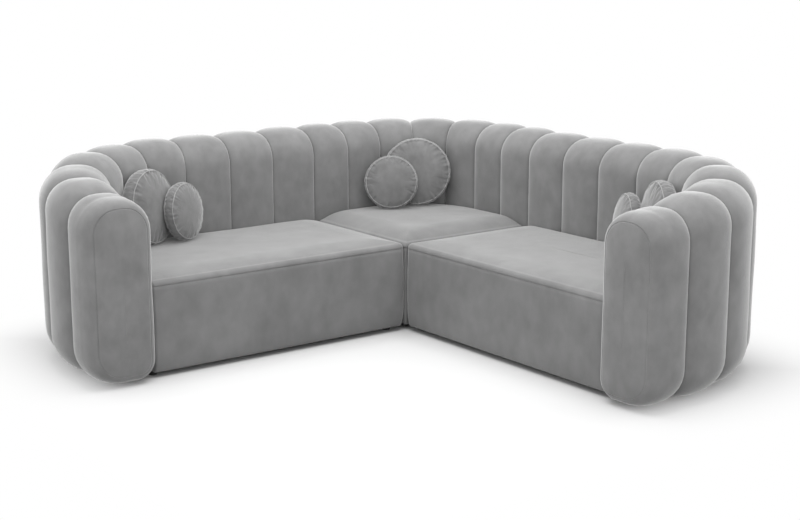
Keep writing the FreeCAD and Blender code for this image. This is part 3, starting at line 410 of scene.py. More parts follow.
def open_section(crest, grow, slot_top):
    """Section with a slot for the frame and a short inner leg."""
    inner_top, outer_top, outer_foot = arch(crest, grow)
    start = (-grow, TUCK)
    loop = [start] + line(start, inner_top[0], SIDE_STEPS) + inner_top
    loop += line(inner_top[-1], outer_top[0], 3) + outer_top
    loop += line(outer_top[-1], outer_foot[0], SIDE_STEPS) + outer_foot[:-2]
    floor = outer_foot[-2][1]
    loop += [(SLOT_OUT, floor), (SLOT_OUT, slot_top), (SLOT_IN, slot_top), (SLOT_IN, TUCK)]
    return np.array(loop)


def closed_section(crest, grow):
    """Section with both feet rounded, for the front of an arm."""
    inner_top, outer_top, outer_foot = arch(crest, grow)
    inner_foot = arc((INNER_FOOT, FOOT + INNER_FOOT), INNER_FOOT + grow, -math.pi / 2)
    loop = inner_foot + line(inner_foot[-1], inner_top[0], SIDE_STEPS) + inner_top
    loop += line(inner_top[-1], outer_top[0], 3) + outer_top
    loop += line(outer_top[-1], outer_foot[0], SIDE_STEPS) + outer_foot
    return np.array(loop + line(outer_foot[-1], inner_foot[0], 4))


def stand_up(run, at, loop):
    """Put a flat section upright at a distance along the wall."""
    point, out = run.at(at)
    return point + loop[:, :1] * out + np.array([0, 0, 1.0]) * loop[:, 1:]


print("points round a channel", len(open_section(BACK_CREST, 0, 0.75)))

# %% [markdown]
# ## The channels
#
# Each channel is a run of sections from crease to crease. It swells fast beside the crease
# and then stays full, which is how padding looks when only its edges are sewn down. The
# stations crowd towards the creases. A little unevenness keeps it from looking turned.

# %% Channel surface
ACROSS = 29
CREASE_DEPTH = 0.007
FULL_POWER, FULL_ROUND = 2.4, 0.6
BROAD_SIZE, BROAD_DEPTH = 0.22, 0.0035
CRINKLE_SIZE, CRINKLE_DEPTH, CRINKLE_FALL = 0.035, 0.0008, 7


def fullness(t):
    """From 0 at a crease to 1 at the middle of a channel."""
    return max(1 - abs(t) ** FULL_POWER, 0.0) ** FULL_ROUND


def swell(t):
    """How far a channel stands out of the crease line."""
    return -CREASE_DEPTH + (BULGE + CREASE_DEPTH) * fullness(t)


def soften(rows, ts, seed):
    """Move points in or out a little, least at the creases."""
    rows = np.array(rows)
    middle = rows.mean(axis=1, keepdims=True)
    away = rows - middle
    away /= np.linalg.norm(away, axis=2, keepdims=True)
    hold = (1 - np.abs(np.array(ts)) ** 6)[:, None]
    broad = unevenness(rows, BROAD_SIZE, BROAD_DEPTH, seed)
    crinkle = unevenness(rows * (1, 1, 0.5), CRINKLE_SIZE, CRINKLE_DEPTH, seed + 9)
    near_crease = np.exp(-(1 - np.abs(np.array(ts))) * CRINKLE_FALL)[:, None]
    return rows + away * (hold * (broad + crinkle * near_crease))[..., None]


def channel_rows(run, start, finish, height, slot_top, seed):
    """Sections of one channel from crease to crease."""
    middle, half = (start + finish) / 2, (finish - start) / 2
    ts = np.sin(np.linspace(-1, 1, ACROSS) * math.pi / 2)
    rows = []
    for t in ts:
        at = middle + t * half
        rows.append(stand_up(run, at, open_section(height(at), swell(t), slot_top)))
    return soften(rows, ts, seed)


def left_height(at):
    """Crest line of a wing: level along the back, falling along the arm."""
    return float(np.interp(at, left_middles, left_crests))


def corner_height(at):
    """Crest line of the corner, level all the way."""
    return BACK_CREST


BACK_SLOT = BACK_CREST - FRAME_DROP + HALF_GAP
ARM_SLOT = ARM_CRESTS[-1] - FRAME_DROP + HALF_GAP


def wing_channel(k, side):
    """One of the eight slotted channels of a wing, counted from the joint."""
    number = 9 - k
    slot_top = BACK_SLOT if k < 6 else ARM_SLOT
    seed = number + (40 if side == "right" else 0)
    rows = channel_rows(left_run, left_creases[k], left_creases[k + 1], left_height, slot_top, seed)
    rows = mirrored_rows(rows) if side == "right" else rows
    piece = rows_to_mesh("%s_channel_%d" % (side, number), rows, flip=side == "left")
    return dress(piece, side + "_module", "%s_rib_%d" % (side, number), CHANNEL_VELVET)


for wing in WINGS:
    for k in range(8):
        wing_channel(k, wing)
for k in range(7):
    ends = corner_creases[k], corner_creases[k + 1]
    rows = channel_rows(corner_run, *ends, corner_height, BACK_SLOT, 80 + k)
    piece = rows_to_mesh("corner_channel_%d" % (k + 1), rows)
    dress(piece, "corner_module", "corner_rib_%d" % (k + 1), CHANNEL_VELVET)
print("channels done")

# %% [markdown]
# ## The front of an arm
#
# The first channel of each arm ends in a flat face that rolls over at its edge. A separate
# panel of velvet is sewn into that face, and the seam shows as a thin groove. The channel's
# last rows turn inwards to make one side of the groove, and the panel makes the other.

# %% End channel and front panel
FACE_INSET, SEAM_DEPTH = 0.016, 0.002
SEAM_STEP = 0.0006
PANEL_DOME = 0.014
END_STATIONS = [(0.30, 0.93), (0.45, 0.86), (0.58, 0.75), (0.69, 0.60), (0.78, 0.42), (0.86, 0.20),
                (0.91, 0.0), (0.95, -0.25), (0.98, -0.5)]


def end_channel_rows(seed):
    """Channel that rolls over into the arm's flat front."""
    start, finish = left_creases[8], left_creases[9]
    middle, half = (start + finish) / 2, (finish - start) / 2
    ts = [t for t in np.sin(np.linspace(-1, 1, ACROSS) * math.pi / 2) if t < 0.25]
    rows = []
    for t in ts:
        at = middle + t * half
        rows.append(stand_up(left_run, at, closed_section(left_height(at), swell(t))))
    for t, full in END_STATIONS:
        at = middle + t * half
        rows.append(stand_up(left_run, at, closed_section(left_height(at), full * BULGE)))
        ts.append(t * 0.9)
    crest = left_height(finish)
    rows.append(stand_up(left_run, finish, closed_section(crest, -FACE_INSET)))
    groove = closed_section(crest, -FACE_INSET - SEAM_STEP)
    rows.append(stand_up(left_run, finish - SEAM_DEPTH, groove))
    return soften(rows, ts + [0.97, 1.0], seed)


PANEL_EDGE = [(-0.14, 0.0004), (-0.02, 0.0008), (0.06, 0.0025), (0.13, 0.0055)]
PANEL_FACE = [(0.24, 0.06), (0.36, 0.13), (0.50, 0.22), (0.64, 0.34), (0.78, 0.50), (0.90, 0.68),
              (0.97, 0.85), (1.0, 0.985)]


def panel_rows():
    """Rings of the front panel: its rolled edge, then shares of the way to an upright line."""
    crest = left_height(left_run.length)
    low, high = FOOT + INNER_FOOT + 0.05, crest - SHOULDER
    rows = []
    for depth, inset in PANEL_EDGE:
        edge = closed_section(crest, -FACE_INSET - inset)
        rows.append(stand_up(left_run, left_run.length + depth * PANEL_DOME, edge))
    spine = np.column_stack([np.full(len(edge), WALL / 2), np.clip(edge[:, 1], low, high)])
    for depth, share in PANEL_FACE:
        ring = edge + (spine - edge) * share
        rows.append(stand_up(left_run, left_run.length + depth * PANEL_DOME, ring))
    rows = np.array(rows)
    rows[:, :, 1] += unevenness(rows, 0.11, 0.0018, 3)
    return rows


for side in WINGS:
    rows = end_channel_rows(1 if side == "left" else 41)
    panel = panel_rows()
    if side == "right":
        rows, panel = mirrored_rows(rows), mirrored_rows(panel)
    piece = rows_to_mesh(side + "_channel_1", rows, flip=side == "left")
    dress(piece, side + "_module", side + "_rib_1", CHANNEL_VELVET)
    piece = rows_to_mesh(side + "_front_pad", panel, flip=side == "left")
    dress(piece, side + "_module", side + "_arm_front_panel", CHANNEL_VELVET)
print("arm fronts done")

# %% [markdown]
# ## The seats
#
# A seat is a box of foam in a padded cover. Its top edge rolls over, and a seam runs round
# it a little below. Higher up the cover rises to a gentle crown. Seen from above every
# level is the same rounded outline drawn in further, so the seat is a stack of outlines.

# %% Seat outline
CORNER_STEPS, LONG_STEPS = 10, 46
LEAST_RADIUS = 0.006


def rounded_outline(plan, radii, weights, inset):
    """Outline of a seat, drawn in by its share of an inset on each side."""
    inward = (1, -1, 1, -1)
    x0, x1, y0, y1 = [edge + way * weight * inset for edge, way, weight in zip(plan, inward, weights)]
    shares = [max(weights[a], weights[b]) for a, b in ((1, 2), (1, 3), (0, 3), (0, 2))]
    r = [max(radius - inset * share, LEAST_RADIUS) for radius, share in zip(radii, shares)]
    centres = [(x1 - r[0], y0 + r[0]), (x1 - r[1], y1 - r[1]),
               (x0 + r[2], y1 - r[2]), (x0 + r[3], y0 + r[3])]
    corners = []
    for k, centre in enumerate(centres):
        angles = np.linspace(k - 1, k, CORNER_STEPS) * math.pi / 2
        corners.append([(centre[0] + r[k] * math.cos(a), centre[1] + r[k] * math.sin(a)) for a in angles])
    points = []
    for k in range(4):
        points += corners[k] + line(corners[k][-1], corners[(k + 1) % 4][0], LONG_STEPS)
    return np.array(points)


# %% [markdown]
# The levels come from a list of heights and insets. The seam is four close levels that dip
# in and out again. The front faces swell by a few millimetres at half height, as wadding
# does under cloth that is only held at its edges.

# %% Seat levels
SEAM_DROP, EDGE_ROLL, CROWN_RUN = 0.024, 0.022, 0.13
BASE_CLEARANCE, FOOT_HEIGHT, FOOT_TAPER = 0.025, 0.07, 0.007
SEAM_HALF, SEAM_DIP = 0.0035, 0.0028
FACE_SWELL = 0.003
HEM = [(0.004, 0.006), (0.0, 0.003), (0.002, 0.0)]
SEAT_WAVE, SEAT_WAVE_DEPTH = 0.30, 0.002
SEAT_RIPPLE, SEAT_RIPPLE_DEPTH = 0.07, 0.0006


def side_levels():
    """Heights and insets of the upright faces, from the hem to the seam."""
    seam = SEAT_HEIGHT - SEAM_DROP
    levels = [(BASE_CLEARANCE + rise, FOOT_TAPER + inset) for rise, inset in HEM]
    for share in np.linspace(0.04, 0.96, 17):
        height = BASE_CLEARANCE + share * (seam - SEAM_HALF - BASE_CLEARANCE)
        low = max(1 - (height - BASE_CLEARANCE) / FOOT_HEIGHT, 0)
        levels.append((height, FOOT_TAPER * low ** 2 - FACE_SWELL * math.sin(math.pi * share)))
    levels.append((seam - SEAM_HALF, 0.0004))
    levels.append((seam - SEAM_HALF * 0.35, SEAM_DIP * 0.8))
    levels.append((seam, SEAM_DIP))
    levels.append((seam + SEAM_HALF * 0.5, SEAM_DIP * 0.4))
    return levels


def top_levels(crown):
    """Heights and insets from the seam over the rolled edge to the middle of the seat."""
    levels = []
    for degrees in (10, 22, 34, 46, 58, 70, 80, 88):
        turn = math.radians(degrees)
        levels.append((SEAT_HEIGHT - SEAM_DROP * (1 - math.sin(turn)), EDGE_ROLL * (1 - math.cos(turn))))
    for share in np.linspace(0.06, 1, 14):
        levels.append((SEAT_HEIGHT + crown * (1 - (1 - share) ** 2), EDGE_ROLL + CROWN_RUN * share))
    return levels


def towards_spine(outline, share):
    """Draw an outline in towards a short line along its middle."""
    low, high = outline.min(axis=0), outline.max(axis=0)
    middle, half = (low + high) / 2, (high - low) / 2
    reach = np.maximum(half - half.min(), 0)
    spine = middle + np.clip(outline - middle, -reach, reach)
    return outline + (spine - outline) * share


def seat_rows(plan, radii, weights, crown, seed):
    """Stack of outlines from the hem to the middle of the top."""
    rows = []
    for height, inset in side_levels() + top_levels(crown):
        outline = rounded_outline(plan, radii, weights, inset)
        rows.append(np.column_stack([outline, np.full(len(outline), height)]))
    for share in np.linspace(0.07, 1, 14) ** 0.9:
        flat = towards_spine(outline, 0.985 * share)
        rows.append(np.column_stack([flat, np.full(len(flat), SEAT_HEIGHT + crown)]))
    rows = np.array(rows)
    on_top = np.clip((rows[..., 2] - SEAT_HEIGHT + 0.01) / 0.03, 0, 1)
    wave = unevenness(rows, SEAT_WAVE, SEAT_WAVE_DEPTH, seed)
    ripple = unevenness(rows, SEAT_RIPPLE, SEAT_RIPPLE_DEPTH, seed + 5)
    rows[..., 2] += on_top * (wave + ripple)
    return rows


# %% [markdown]
# A side seat is as deep as the corner seat and nearly twice as wide. Its sides at the wall
# stay almost upright, while the front rolls over in full, so each side has its own share.

# %% Seats
SEAT_WALL_GAP = 0.0016
seat_back = INNER - BULGE - SEAT_WALL_GAP
arm_side = BULGE + SEAT_WALL_GAP - INNER
REAR_SHARE = 0.25
SIDE_CROWN, CORNER_CROWN = 0.018, 0.038
side_plan = (arm_side, JOINT - HALF_GAP, JOINT, seat_back)
side_radii = (0.03, 0.012, ARM_BEND - BULGE - SEAT_WALL_GAP, 0.012)
side_weights = (REAR_SHARE, 1, 1, REAR_SHARE)
corner_plan = (JOINT + HALF_GAP, seat_back, JOINT + HALF_GAP, seat_back)
corner_radii = (0.012, CORNER_BEND - BULGE - SEAT_WALL_GAP, 0.012, 0.012)
corner_weights = (1, REAR_SHARE, 1, REAR_SHARE)

for side in WINGS:
    rows = seat_rows(side_plan, side_radii, side_weights, SIDE_CROWN, 21 if side == "left" else 31)
    rows = mirrored_rows(rows) if side == "right" else rows
    piece = rows_to_mesh(side + "_seat", rows, flip=side == "right")
    dress(piece, side + "_module", side + "_seat_cover", SEAT_VELVET)
rows = seat_rows(corner_plan, corner_radii, corner_weights, CORNER_CROWN, 27)
piece = rows_to_mesh("corner_seat", rows)
dress(piece, "corner_module", "corner_seat_cover", SEAT_VELVET)
print("seats done")

# %% [markdown]
# ## The cushions
#
# A round cushion is two domed faces and a band, sewn together at two rims. It is turned
# about its own axis, so a profile spun round a circle makes it. Where its axis points is
# read from the frame: the flattest direction of the piece's own points is the axis.

# %% Cushion place
def cushion_place(node):
    """Centre, axis, radius and depth of a round cushion of the frame."""
    points = points_of(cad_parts[node].data)
    low, high = points.min(axis=0), points.max(axis=0)
    centre = (low + high) / 2
    around = points - centre
    directions = np.linalg.svd(around - around.mean(axis=0), full_matrices=False)[2]
    axis = directions[2]
    along = around @ axis
    across = np.linalg.norm(around - along[:, None] * axis, axis=1)
    return centre, axis, across.max(), along.max() - along.min()


# %% [markdown]
# The cover starts as a turned form a little too small and flat. It is cut again into even
# squares, its rims are held and the cloth grows by a few hundredths while air blows it up
# from inside. The spare cloth gathers into uneven folds at the rims, as on a sewn cushion.

# %% Cushion cover
DOME, DRAW, DOME_POWER = 0.024, 0.009, 2.2
TURNS = 96
VOXEL, CLOTH_FRAMES = 0.005, 18
START_SHARE, START_DOME, REACH_CAP = 0.97, 0.45, 0.024
RIM_REACH, HELD = 0.007, 0.72
CLOTH_GROWTH, AIR_PRESSURE = 0.022, 2.0
CLOTH_QUALITY, CLOTH_MASS, AIR_DRAG = 5, 0.2, 3.0
STRETCH_HOLD, SHEAR_HOLD, BEND_HOLD = 15.0, 5.0, 0.012


def cushion_profile(radius, depth):
    """Half section: distance from the axis and height."""
    rim, edge = radius - DRAW, depth / 2 - DOME
    dome = DOME * START_DOME
    shares = np.sin(np.linspace(0.04, 1, 20) * math.pi / 2)
    face = [(rim * s, edge + dome * (1 - s ** DOME_POWER)) for s in shares]
    band = [(radius - DRAW * abs(s) ** 2, -s * edge) for s in np.linspace(-1, 1, 11)[1:-1]]
    return face + band + [(out, -height) for out, height in face[::-1]]


def turned_cover(name, radius, depth):
    """Closed form turned about Z."""
    angles = np.arange(TURNS) * 2 * math.pi / TURNS
    rows = []
    for out, height in cushion_profile(radius, depth):
        rows.append([(out * math.cos(a), out * math.sin(a), height) for a in angles])
    return rows_to_mesh(name, rows, flip=True)


def settled_mesh(piece):
    """Mesh of a piece with its modifiers applied."""
    settled = piece.evaluated_get(bpy.context.evaluated_depsgraph_get())
    mesh = bpy.data.meshes.new_from_object(settled)
    piece.modifiers.clear()
    piece.data = mesh
    return mesh


def near_rims(points, radius, depth):
    """1 at a sewn rim, falling to 0 away from it."""
    rim, edge = radius - DRAW, depth / 2 - DOME
    away = np.hypot(np.hypot(points[:, 0], points[:, 1]) - rim, np.abs(points[:, 2]) - edge)
    return np.exp(-(away / RIM_REACH) ** 2)


def blow_up(piece, radius, depth):
    """Cloth pushed out from inside and held at its rims."""
    cutting = piece.modifiers.new("squares", "REMESH")
    cutting.mode = "VOXEL"
    cutting.voxel_size = VOXEL
    start = points_of(settled_mesh(piece))
    held = near_rims(start, radius, depth) > HELD
    rims = piece.vertex_groups.new(name="rims")
    rims.add([int(number) for number in np.flatnonzero(held)], 1.0, "REPLACE")
    cloth = piece.modifiers.new("cloth", "CLOTH")
    make = cloth.settings
    make.quality, make.mass, make.air_damping = CLOTH_QUALITY, CLOTH_MASS, AIR_DRAG
    make.tension_stiffness = make.compression_stiffness = STRETCH_HOLD
    make.shear_stiffness, make.bending_stiffness = SHEAR_HOLD, BEND_HOLD
    make.use_pressure = True
    make.uniform_pressure_force = AIR_PRESSURE
    make.vertex_group_mass = "rims"
    make.shrink_min = -CLOTH_GROWTH
    make.effector_weights.gravity = 0.0
    cloth.point_cache.frame_start, cloth.point_cache.frame_end = 1, CLOTH_FRAMES
    for frame_number in range(1, CLOTH_FRAMES + 1):
        bpy.context.scene.frame_set(frame_number)
    moved = points_of(settled_mesh(piece)) - start
    length = np.linalg.norm(moved, axis=1, keepdims=True)
    piece.vertex_groups.clear()
    return start + moved * np.minimum(1, REACH_CAP / np.maximum(length, 1e-9))


def fit(points, radius, depth):
    """Scale a cover to the radius and depth that the frame gives it."""
    across = np.hypot(points[:, 0], points[:, 1]).max()
    return points * (radius / across, radius / across, depth / 2 / np.abs(points[:, 2]).max())


# %% [markdown]
# Each rim is a cord sewn into the seam. Its route is read from the finished cover: round
# the axis, step by step, the points next to the rim are averaged and a thin tube follows.

# %% Sewn rims
RIM_STEPS, RIM_SIDES, RIM_RADIUS = 120, 8, 0.0019
RIM_NEAR = 0.45


def rim_route(points, weights, side):
    """Mean place of the rim's points at each angle round the axis."""
    angles = np.arctan2(points[:, 1], points[:, 0])
    chosen = (weights > RIM_NEAR) & (points[:, 2] * side > 0)
    route = []
    for step in range(RIM_STEPS):
        turn = -math.pi + (step + 0.5) * 2 * math.pi / RIM_STEPS
        apart = np.abs((angles - turn + math.pi) % (2 * math.pi) - math.pi)
        near = chosen & (apart < 2 * math.pi / RIM_STEPS)
        route.append(points[near].mean(axis=0))
    route = np.array(route)
    for _ in range(2):
        route = (np.roll(route, 1, axis=0) + 2 * route + np.roll(route, -1, axis=0)) / 4
    return route


def rim_rows(route, side):
    """Thin tube round a cushion, a little proud of the cover."""
    out = route * (1, 1, 0)
    out /= np.linalg.norm(out, axis=1, keepdims=True)
    up = np.array([0, 0, float(side)])
    route = route + (out * 0.6 + up * 0.4) * RIM_RADIUS
    turns = np.arange(RIM_SIDES) * 2 * math.pi / RIM_SIDES
    rows = []
    for place, away in zip(route, out):
        rows.append([place + RIM_RADIUS * (away * math.cos(t) + up * math.sin(t)) for t in turns])
    return np.array(rows + rows[:1])


# %% [markdown]
# Thread pulls the face in at every stitch, so short folds run in from the rims. Several
# waves of different counts are added up, and how far they reach changes round the axis.

# %% Short folds
RUFFLES, RUFFLE_HEIGHT = (17, 26, 37, 46), 0.0015
RUFFLE_FROM, RUFFLE_SHIFT, RUFFLE_BY = 0.68, 0.14, 0.94


def ruffled(points, radius, name):
    """Short uneven folds that run in from the rims."""
    random = np.random.default_rng(sum(map(ord, name)))
    across = np.hypot(points[:, 0], points[:, 1])
    angle = np.arctan2(points[:, 1], points[:, 0])
    reach = RUFFLE_FROM + RUFFLE_SHIFT * np.sin(7 * angle + random.uniform(0, 6)) * np.sin(3 * angle)
    share = np.clip((across / radius - reach) / (RUFFLE_BY - reach), 0, 1)
    folds = sum(np.sin(count * angle + random.uniform(0, 6)) for count in RUFFLES)
    height = RUFFLE_HEIGHT * folds * share * share
    lifted = points.copy()
    lifted[:, 2] += np.sign(points[:, 2]) * height
    return lifted


# %% [markdown]
# Last, the cover is turned from its own axis to the place the frame gives it, and pressed
# flat where it stands on the seat. One subdivision makes the folds smooth.

# %% Cushions
PRESS, SPIN_STEP = 0.0022, 1.1


def stood(points, place, spin):
    """Points about Z put at a cushion's centre and axis, pressed flat at the foot."""
    centre, axis = place[:2]
    side = np.cross(axis, (0, 0, 1.0))
    side /= np.linalg.norm(side)
    up = np.cross(side, axis)
    along, beside = math.cos(spin), math.sin(spin)
    turned = points @ np.array([[along, beside, 0], [-beside, along, 0], [0, 0, 1]])
    return centre + turned @ np.array([side, up, axis])


def make_cushion(name, number):
    """Cover and two sewn rims of one cushion."""
    place = cushion_place(name)
    radius, depth = place[2:]
    small, thin = radius * START_SHARE, depth * START_SHARE
    cover = turned_cover(name + "_cover", small, thin)
    points = blow_up(cover, small, thin)
    weights = near_rims(points, small, thin)
    points = ruffled(fit(points, radius, depth), radius, name)
    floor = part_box(name)[0][2] + PRESS
    pieces = [(cover, points)]
    for side in (1, -1):
        rows = rim_rows(rim_route(points, weights, side), side)
        label = name + ("_rim_front" if side > 0 else "_rim_back")
        rim = rows_to_mesh(label, rows, close_ends=False)
        pieces.append((rim, rows.reshape(-1, 3)))
    for piece, local in pieces:
        world = stood(local, place, number * SPIN_STEP)
        world[:, 2] = np.maximum(world[:, 2], floor)
        piece.data.vertices.foreach_set("co", world.ravel())
        piece.data.update()
    cover.data.polygons.foreach_set("use_smooth", [True] * len(cover.data.polygons))
    cover.modifiers.new("smooth", "SUBSURF").levels = 1
    dress(cover, name + "_body", name, CUSHION_VELVET)
    # The rim cords get the lighter grey, which is painted sheen.
    for rim, _ in pieces[1:]:
        rim.data.materials.append(RIM_VELVET_PAINTED_SHEEN)
        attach(rim, name + "_body")


CUSHIONS = [side + sort for side in SIDES for sort in ("_big_cushion", "_small_cushion")]
for number, name in enumerate(CUSHIONS):
    make_cushion(name, number)
bpy.context.scene.frame_set(1)
print("cushions done")

# %% [markdown]
# ## Foam, webbing and the cloth below
#
# Under each cover lies a block of foam on woven straps, and a thin black cloth closes the
# base. The foam is the seat's own outline drawn in by the wadding. Each strap is a flat
# band with rounded edges, as long as the frame's. The cloth is the frame's own flat shape.

# %% Hidden soft finishes
def make_cells():
    """Small open cells: a height and a shade from round cell edges."""
    tree, inside, outside = new_group("open_cells", {"Cell Scale": 300.0}, ["Height", "Shade"])
    where = add(tree, "ShaderNodeTexCoord")
    cells = add(tree, "ShaderNodeTexVoronoi")
    join(tree, where.outputs["Object"], cells.inputs["Vector"])
    join(tree, inside.outputs["Cell Scale"], cells.inputs["Scale"])
    join(tree, cells.outputs["Distance"], outside.inputs["Height"])
    join(tree, maths(tree, "ADD", maths(tree, "MULTIPLY", cells.outputs["Distance"], 0.35), 0.75),
         outside.inputs["Shade"])
    return tree


def make_weave():
    """Crossing ribs of a flat weave: a height and a shade."""
    tree, inside, outside = new_group("flat_weave", {"Thread Scale": 160.0}, ["Height", "Shade"])
    waves = []
    for direction in ("X", "Y"):
        wave = add(tree, "ShaderNodeTexWave", bands_direction=direction)
        where = add(tree, "ShaderNodeTexCoord")
        join(tree, where.outputs["Object"], wave.inputs["Vector"])
        join(tree, inside.outputs["Thread Scale"], wave.inputs["Scale"])
        waves.append(wave.outputs["Fac"])
    crossed = maths(tree, "MULTIPLY", waves[0], waves[1])
    join(tree, crossed, outside.inputs["Height"])
    join(tree, maths(tree, "ADD", maths(tree, "MULTIPLY", crossed, 0.5), 0.7), outside.inputs["Shade"])
    return tree


CELLS, WEAVE = make_cells(), make_weave()


def textured(name, group, colour, roughness, depth, **values):
    """Material whose colour and relief both come from one shared group."""
    material, tree, shader = bare_material(name)
    item = group_node(tree, group, **values)
    shaded_colour(tree, shader, colour, item.outputs["Shade"])
    bump(tree, shader, item.outputs["Height"], depth)
    shader.inputs["Roughness"].default_value = roughness
    return material


FOAM = textured("seat_foam", CELLS, (0.80, 0.76, 0.62), 0.95, 0.0006, Cell_Scale=420.0)
STRAP = textured("strap_weave", WEAVE, (0.10, 0.10, 0.11), 0.8, 0.0004, Thread_Scale=110.0)
LINING = textured("base_cloth", CELLS, (0.03, 0.03, 0.03), 0.9, 0.0002, Cell_Scale=700.0)
print("hidden finishes", FOAM.name, STRAP.name, LINING.name)

# %% [markdown]
# A foam block is cut plain, with its edges barely broken. It fills the space between the
# straps and the top of its cover, less a hair's breadth all round.

# %% Foam blocks
DECK, STRAP_THICKNESS, COVER_WALL, SOFT_GAP = 0.288, 0.002, 0.012, 0.0003
FOAM_ROUND = 0.006


def foam_rows(plan, radii):
    """Block with slightly rounded edges, above the straps."""
    low, high = DECK + STRAP_THICKNESS, SEAT_HEIGHT - SEAM_DROP - SOFT_GAP
    quarter_turn = [math.radians(a) for a in (0, 30, 60, 90)]
    corner = [(FOAM_ROUND * (1 - math.sin(a)), FOAM_ROUND * (1 - math.cos(a))) for a in quarter_turn]
    levels = [(low + rise, inset) for rise, inset in corner[::-1]]
    levels += [(low + (high - low) * share, 0) for share in (0.25, 0.5, 0.75)]
    levels += [(high - drop, inset) for drop, inset in corner]
    rows = []
    for height, inset in levels:
        outline = rounded_outline(plan, radii, (1, 1, 1, 1), COVER_WALL + SOFT_GAP + inset)
        rows.append(np.column_stack([outline, np.full(len(outline), height)]))
    return np.array(rows)


def hidden_piece(piece, body, node, material):
    """Dress a piece that lies inside or under the sofa."""
    piece.data.materials.clear()
    piece.data.materials.append(material)
    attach(piece, body)
    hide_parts(node)
    return piece


for side in SIDES:
    outline = (corner_plan, corner_radii) if side == "corner" else (side_plan, side_radii)
    rows = foam_rows(*outline)
    rows = mirrored_rows(rows) if side == "right" else rows
    block = rows_to_mesh(side + "_foam_block", rows, flip=side == "right")
    hidden_piece(block, side + "_module", side + "_seat_foam", FOAM)
print("foam done")

# %% [markdown]
# A node of the frame can hold many straps, so its mesh is split into islands: points that
# edges join. Each island's box gives one strap.

# %% Straps and base cloth
STRAP_STEPS = 24


def islands(node):
    """Lowest and highest corner of each separate solid of a node."""
    shape = bmesh.new()
    shape.from_mesh(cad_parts[node].data)
    bmesh.ops.remove_doubles(shape, verts=shape.verts, dist=1e-5)
    boxes, seen = [], set()
    for start in shape.verts:
        if start in seen:
            continue
        seen.add(start)
        stack, found = [start], []
        while stack:
            point = stack.pop()
            found.append(tuple(point.co))
            for other in (edge.other_vert(point) for edge in point.link_edges):
                if other not in seen:
                    seen.add(other)
                    stack.append(other)
        boxes.append((np.min(found, axis=0), np.max(found, axis=0)))
    shape.free()
    return boxes


def strap_rows(low, high):
    """Flat band with rounded edges between two corners, along its longer side."""
    along = 0 if high[0] - low[0] > high[1] - low[1] else 1
    across = 1 - along
    middle, half = (low + high) / 2, (high - low) / 2
    edge = half[2]
    turns = np.linspace(-math.pi / 2, math.pi / 2, 5)
    loop = [(half[across] - edge + edge * math.cos(t), edge * math.sin(t)) for t in turns]
    loop += [(-x, -z) for x, z in loop]
    rows = []
    for share in np.linspace(-1, 1, STRAP_STEPS):
        row = np.tile(middle, (len(loop), 1))
        row[:, along] += share * half[along]
        row[:, across] += [x for x, z in loop]
        row[:, 2] += [z for x, z in loop]
        rows.append(row)
    return rows, along


for side in SIDES:
    node = side + "_seat_webbing"
    for number, (low, high) in enumerate(islands(node)):
        rows, along = strap_rows(low, high)
        strap = rows_to_mesh("%s_strap_%d" % (side, number + 1), rows, flip=along == 1)
        hidden_piece(strap, side + "_module", node, STRAP)
    node = side + "_dust_cover"
    cloth = bpy.data.objects.new(side + "_base_cloth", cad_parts[node].data.copy())
    bpy.context.collection.objects.link(cloth)
    hidden_piece(cloth, side + "_module", node, LINING)
    low, high = (np.array(corner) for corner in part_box(node))

# %% [markdown]
# ## Timber, steel and plastic
#
# The frame's own solids are the right shape for boards, bolts, connectors and glides. They
# keep their meshes and get a real finish: sawn grain, zinc with a dull bloom, moulded black.

# %% Hard finishes
def make_grain():
    """Level streaks of sawn timber: a height and a shade."""
    tree, inside, outside = new_group("sawn_grain", {"Grain Scale": 3.0}, ["Height", "Shade"])
    streaks = noise_value(tree, inside.outputs["Grain Scale"], 6.0, stretch=(0.7, 0.7, 16.0))
    join(tree, streaks, outside.inputs["Height"])
    join(tree, maths(tree, "ADD", maths(tree, "MULTIPLY", streaks, 0.9), 0.55), outside.inputs["Shade"])
    return tree


def make_bloom():
    """Cloudy roughness of a plated or moulded surface."""
    inputs = {"Cloud Scale": 60.0, "Low": 0.3, "High": 0.5}
    tree, inside, outside = new_group("dull_bloom", inputs, ["Roughness"])
    clouds = noise_value(tree, inside.outputs["Cloud Scale"], 3.0)
    spread = maths(tree, "SUBTRACT", inside.outputs["High"], inside.outputs["Low"])
    join(tree, maths(tree, "ADD", maths(tree, "MULTIPLY", clouds, spread), inside.outputs["Low"]),
         outside.inputs["Roughness"])
    return tree


GRAIN, BLOOM = make_grain(), make_bloom()
TIMBER = textured("sawn_timber", GRAIN, (0.62, 0.46, 0.29), 0.75, 0.0004, Grain_Scale=3.0)


def bloomed(name, colour, metallic, low, high):
    """Plain coloured surface whose roughness is cloudy."""
    material, tree, shader = bare_material(name)
    shader.inputs["Base Color"].default_value = (*colour, 1)
    shader.inputs["Metallic"].default_value = metallic
    item = group_node(tree, BLOOM, Low=low, High=high)
    join(tree, item.outputs["Roughness"], shader.inputs["Roughness"])
    grit = noise_value(tree, 700.0, 2.0)
    bump(tree, shader, grit, 0.0001)
    return material


ZINC = bloomed("zinc_plate", (0.62, 0.63, 0.65), 1.0, 0.28, 0.5)
MOULDED = bloomed("moulded_black", (0.02, 0.02, 0.02), 0.0, 0.35, 0.55)


def refinish(node, material):
    """Give a solid of the frame its real finish."""
    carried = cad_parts[node]
    if not carried.material_slots:
        carried.data.materials.append(material)
    for place in carried.material_slots:
        place.material = material


FINISHES = {"_wall_frame": TIMBER, "_base_frame": TIMBER, "_frame_bolts": ZINC, "_glides": MOULDED,
            "_connector_jaws": ZINC, "_connector_pins": ZINC}
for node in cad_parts:
    for ending, material in FINISHES.items():
        if node.endswith(ending):
            refinish(node, material)
print("hard finishes", TIMBER.name, ZINC.name, MOULDED.name)

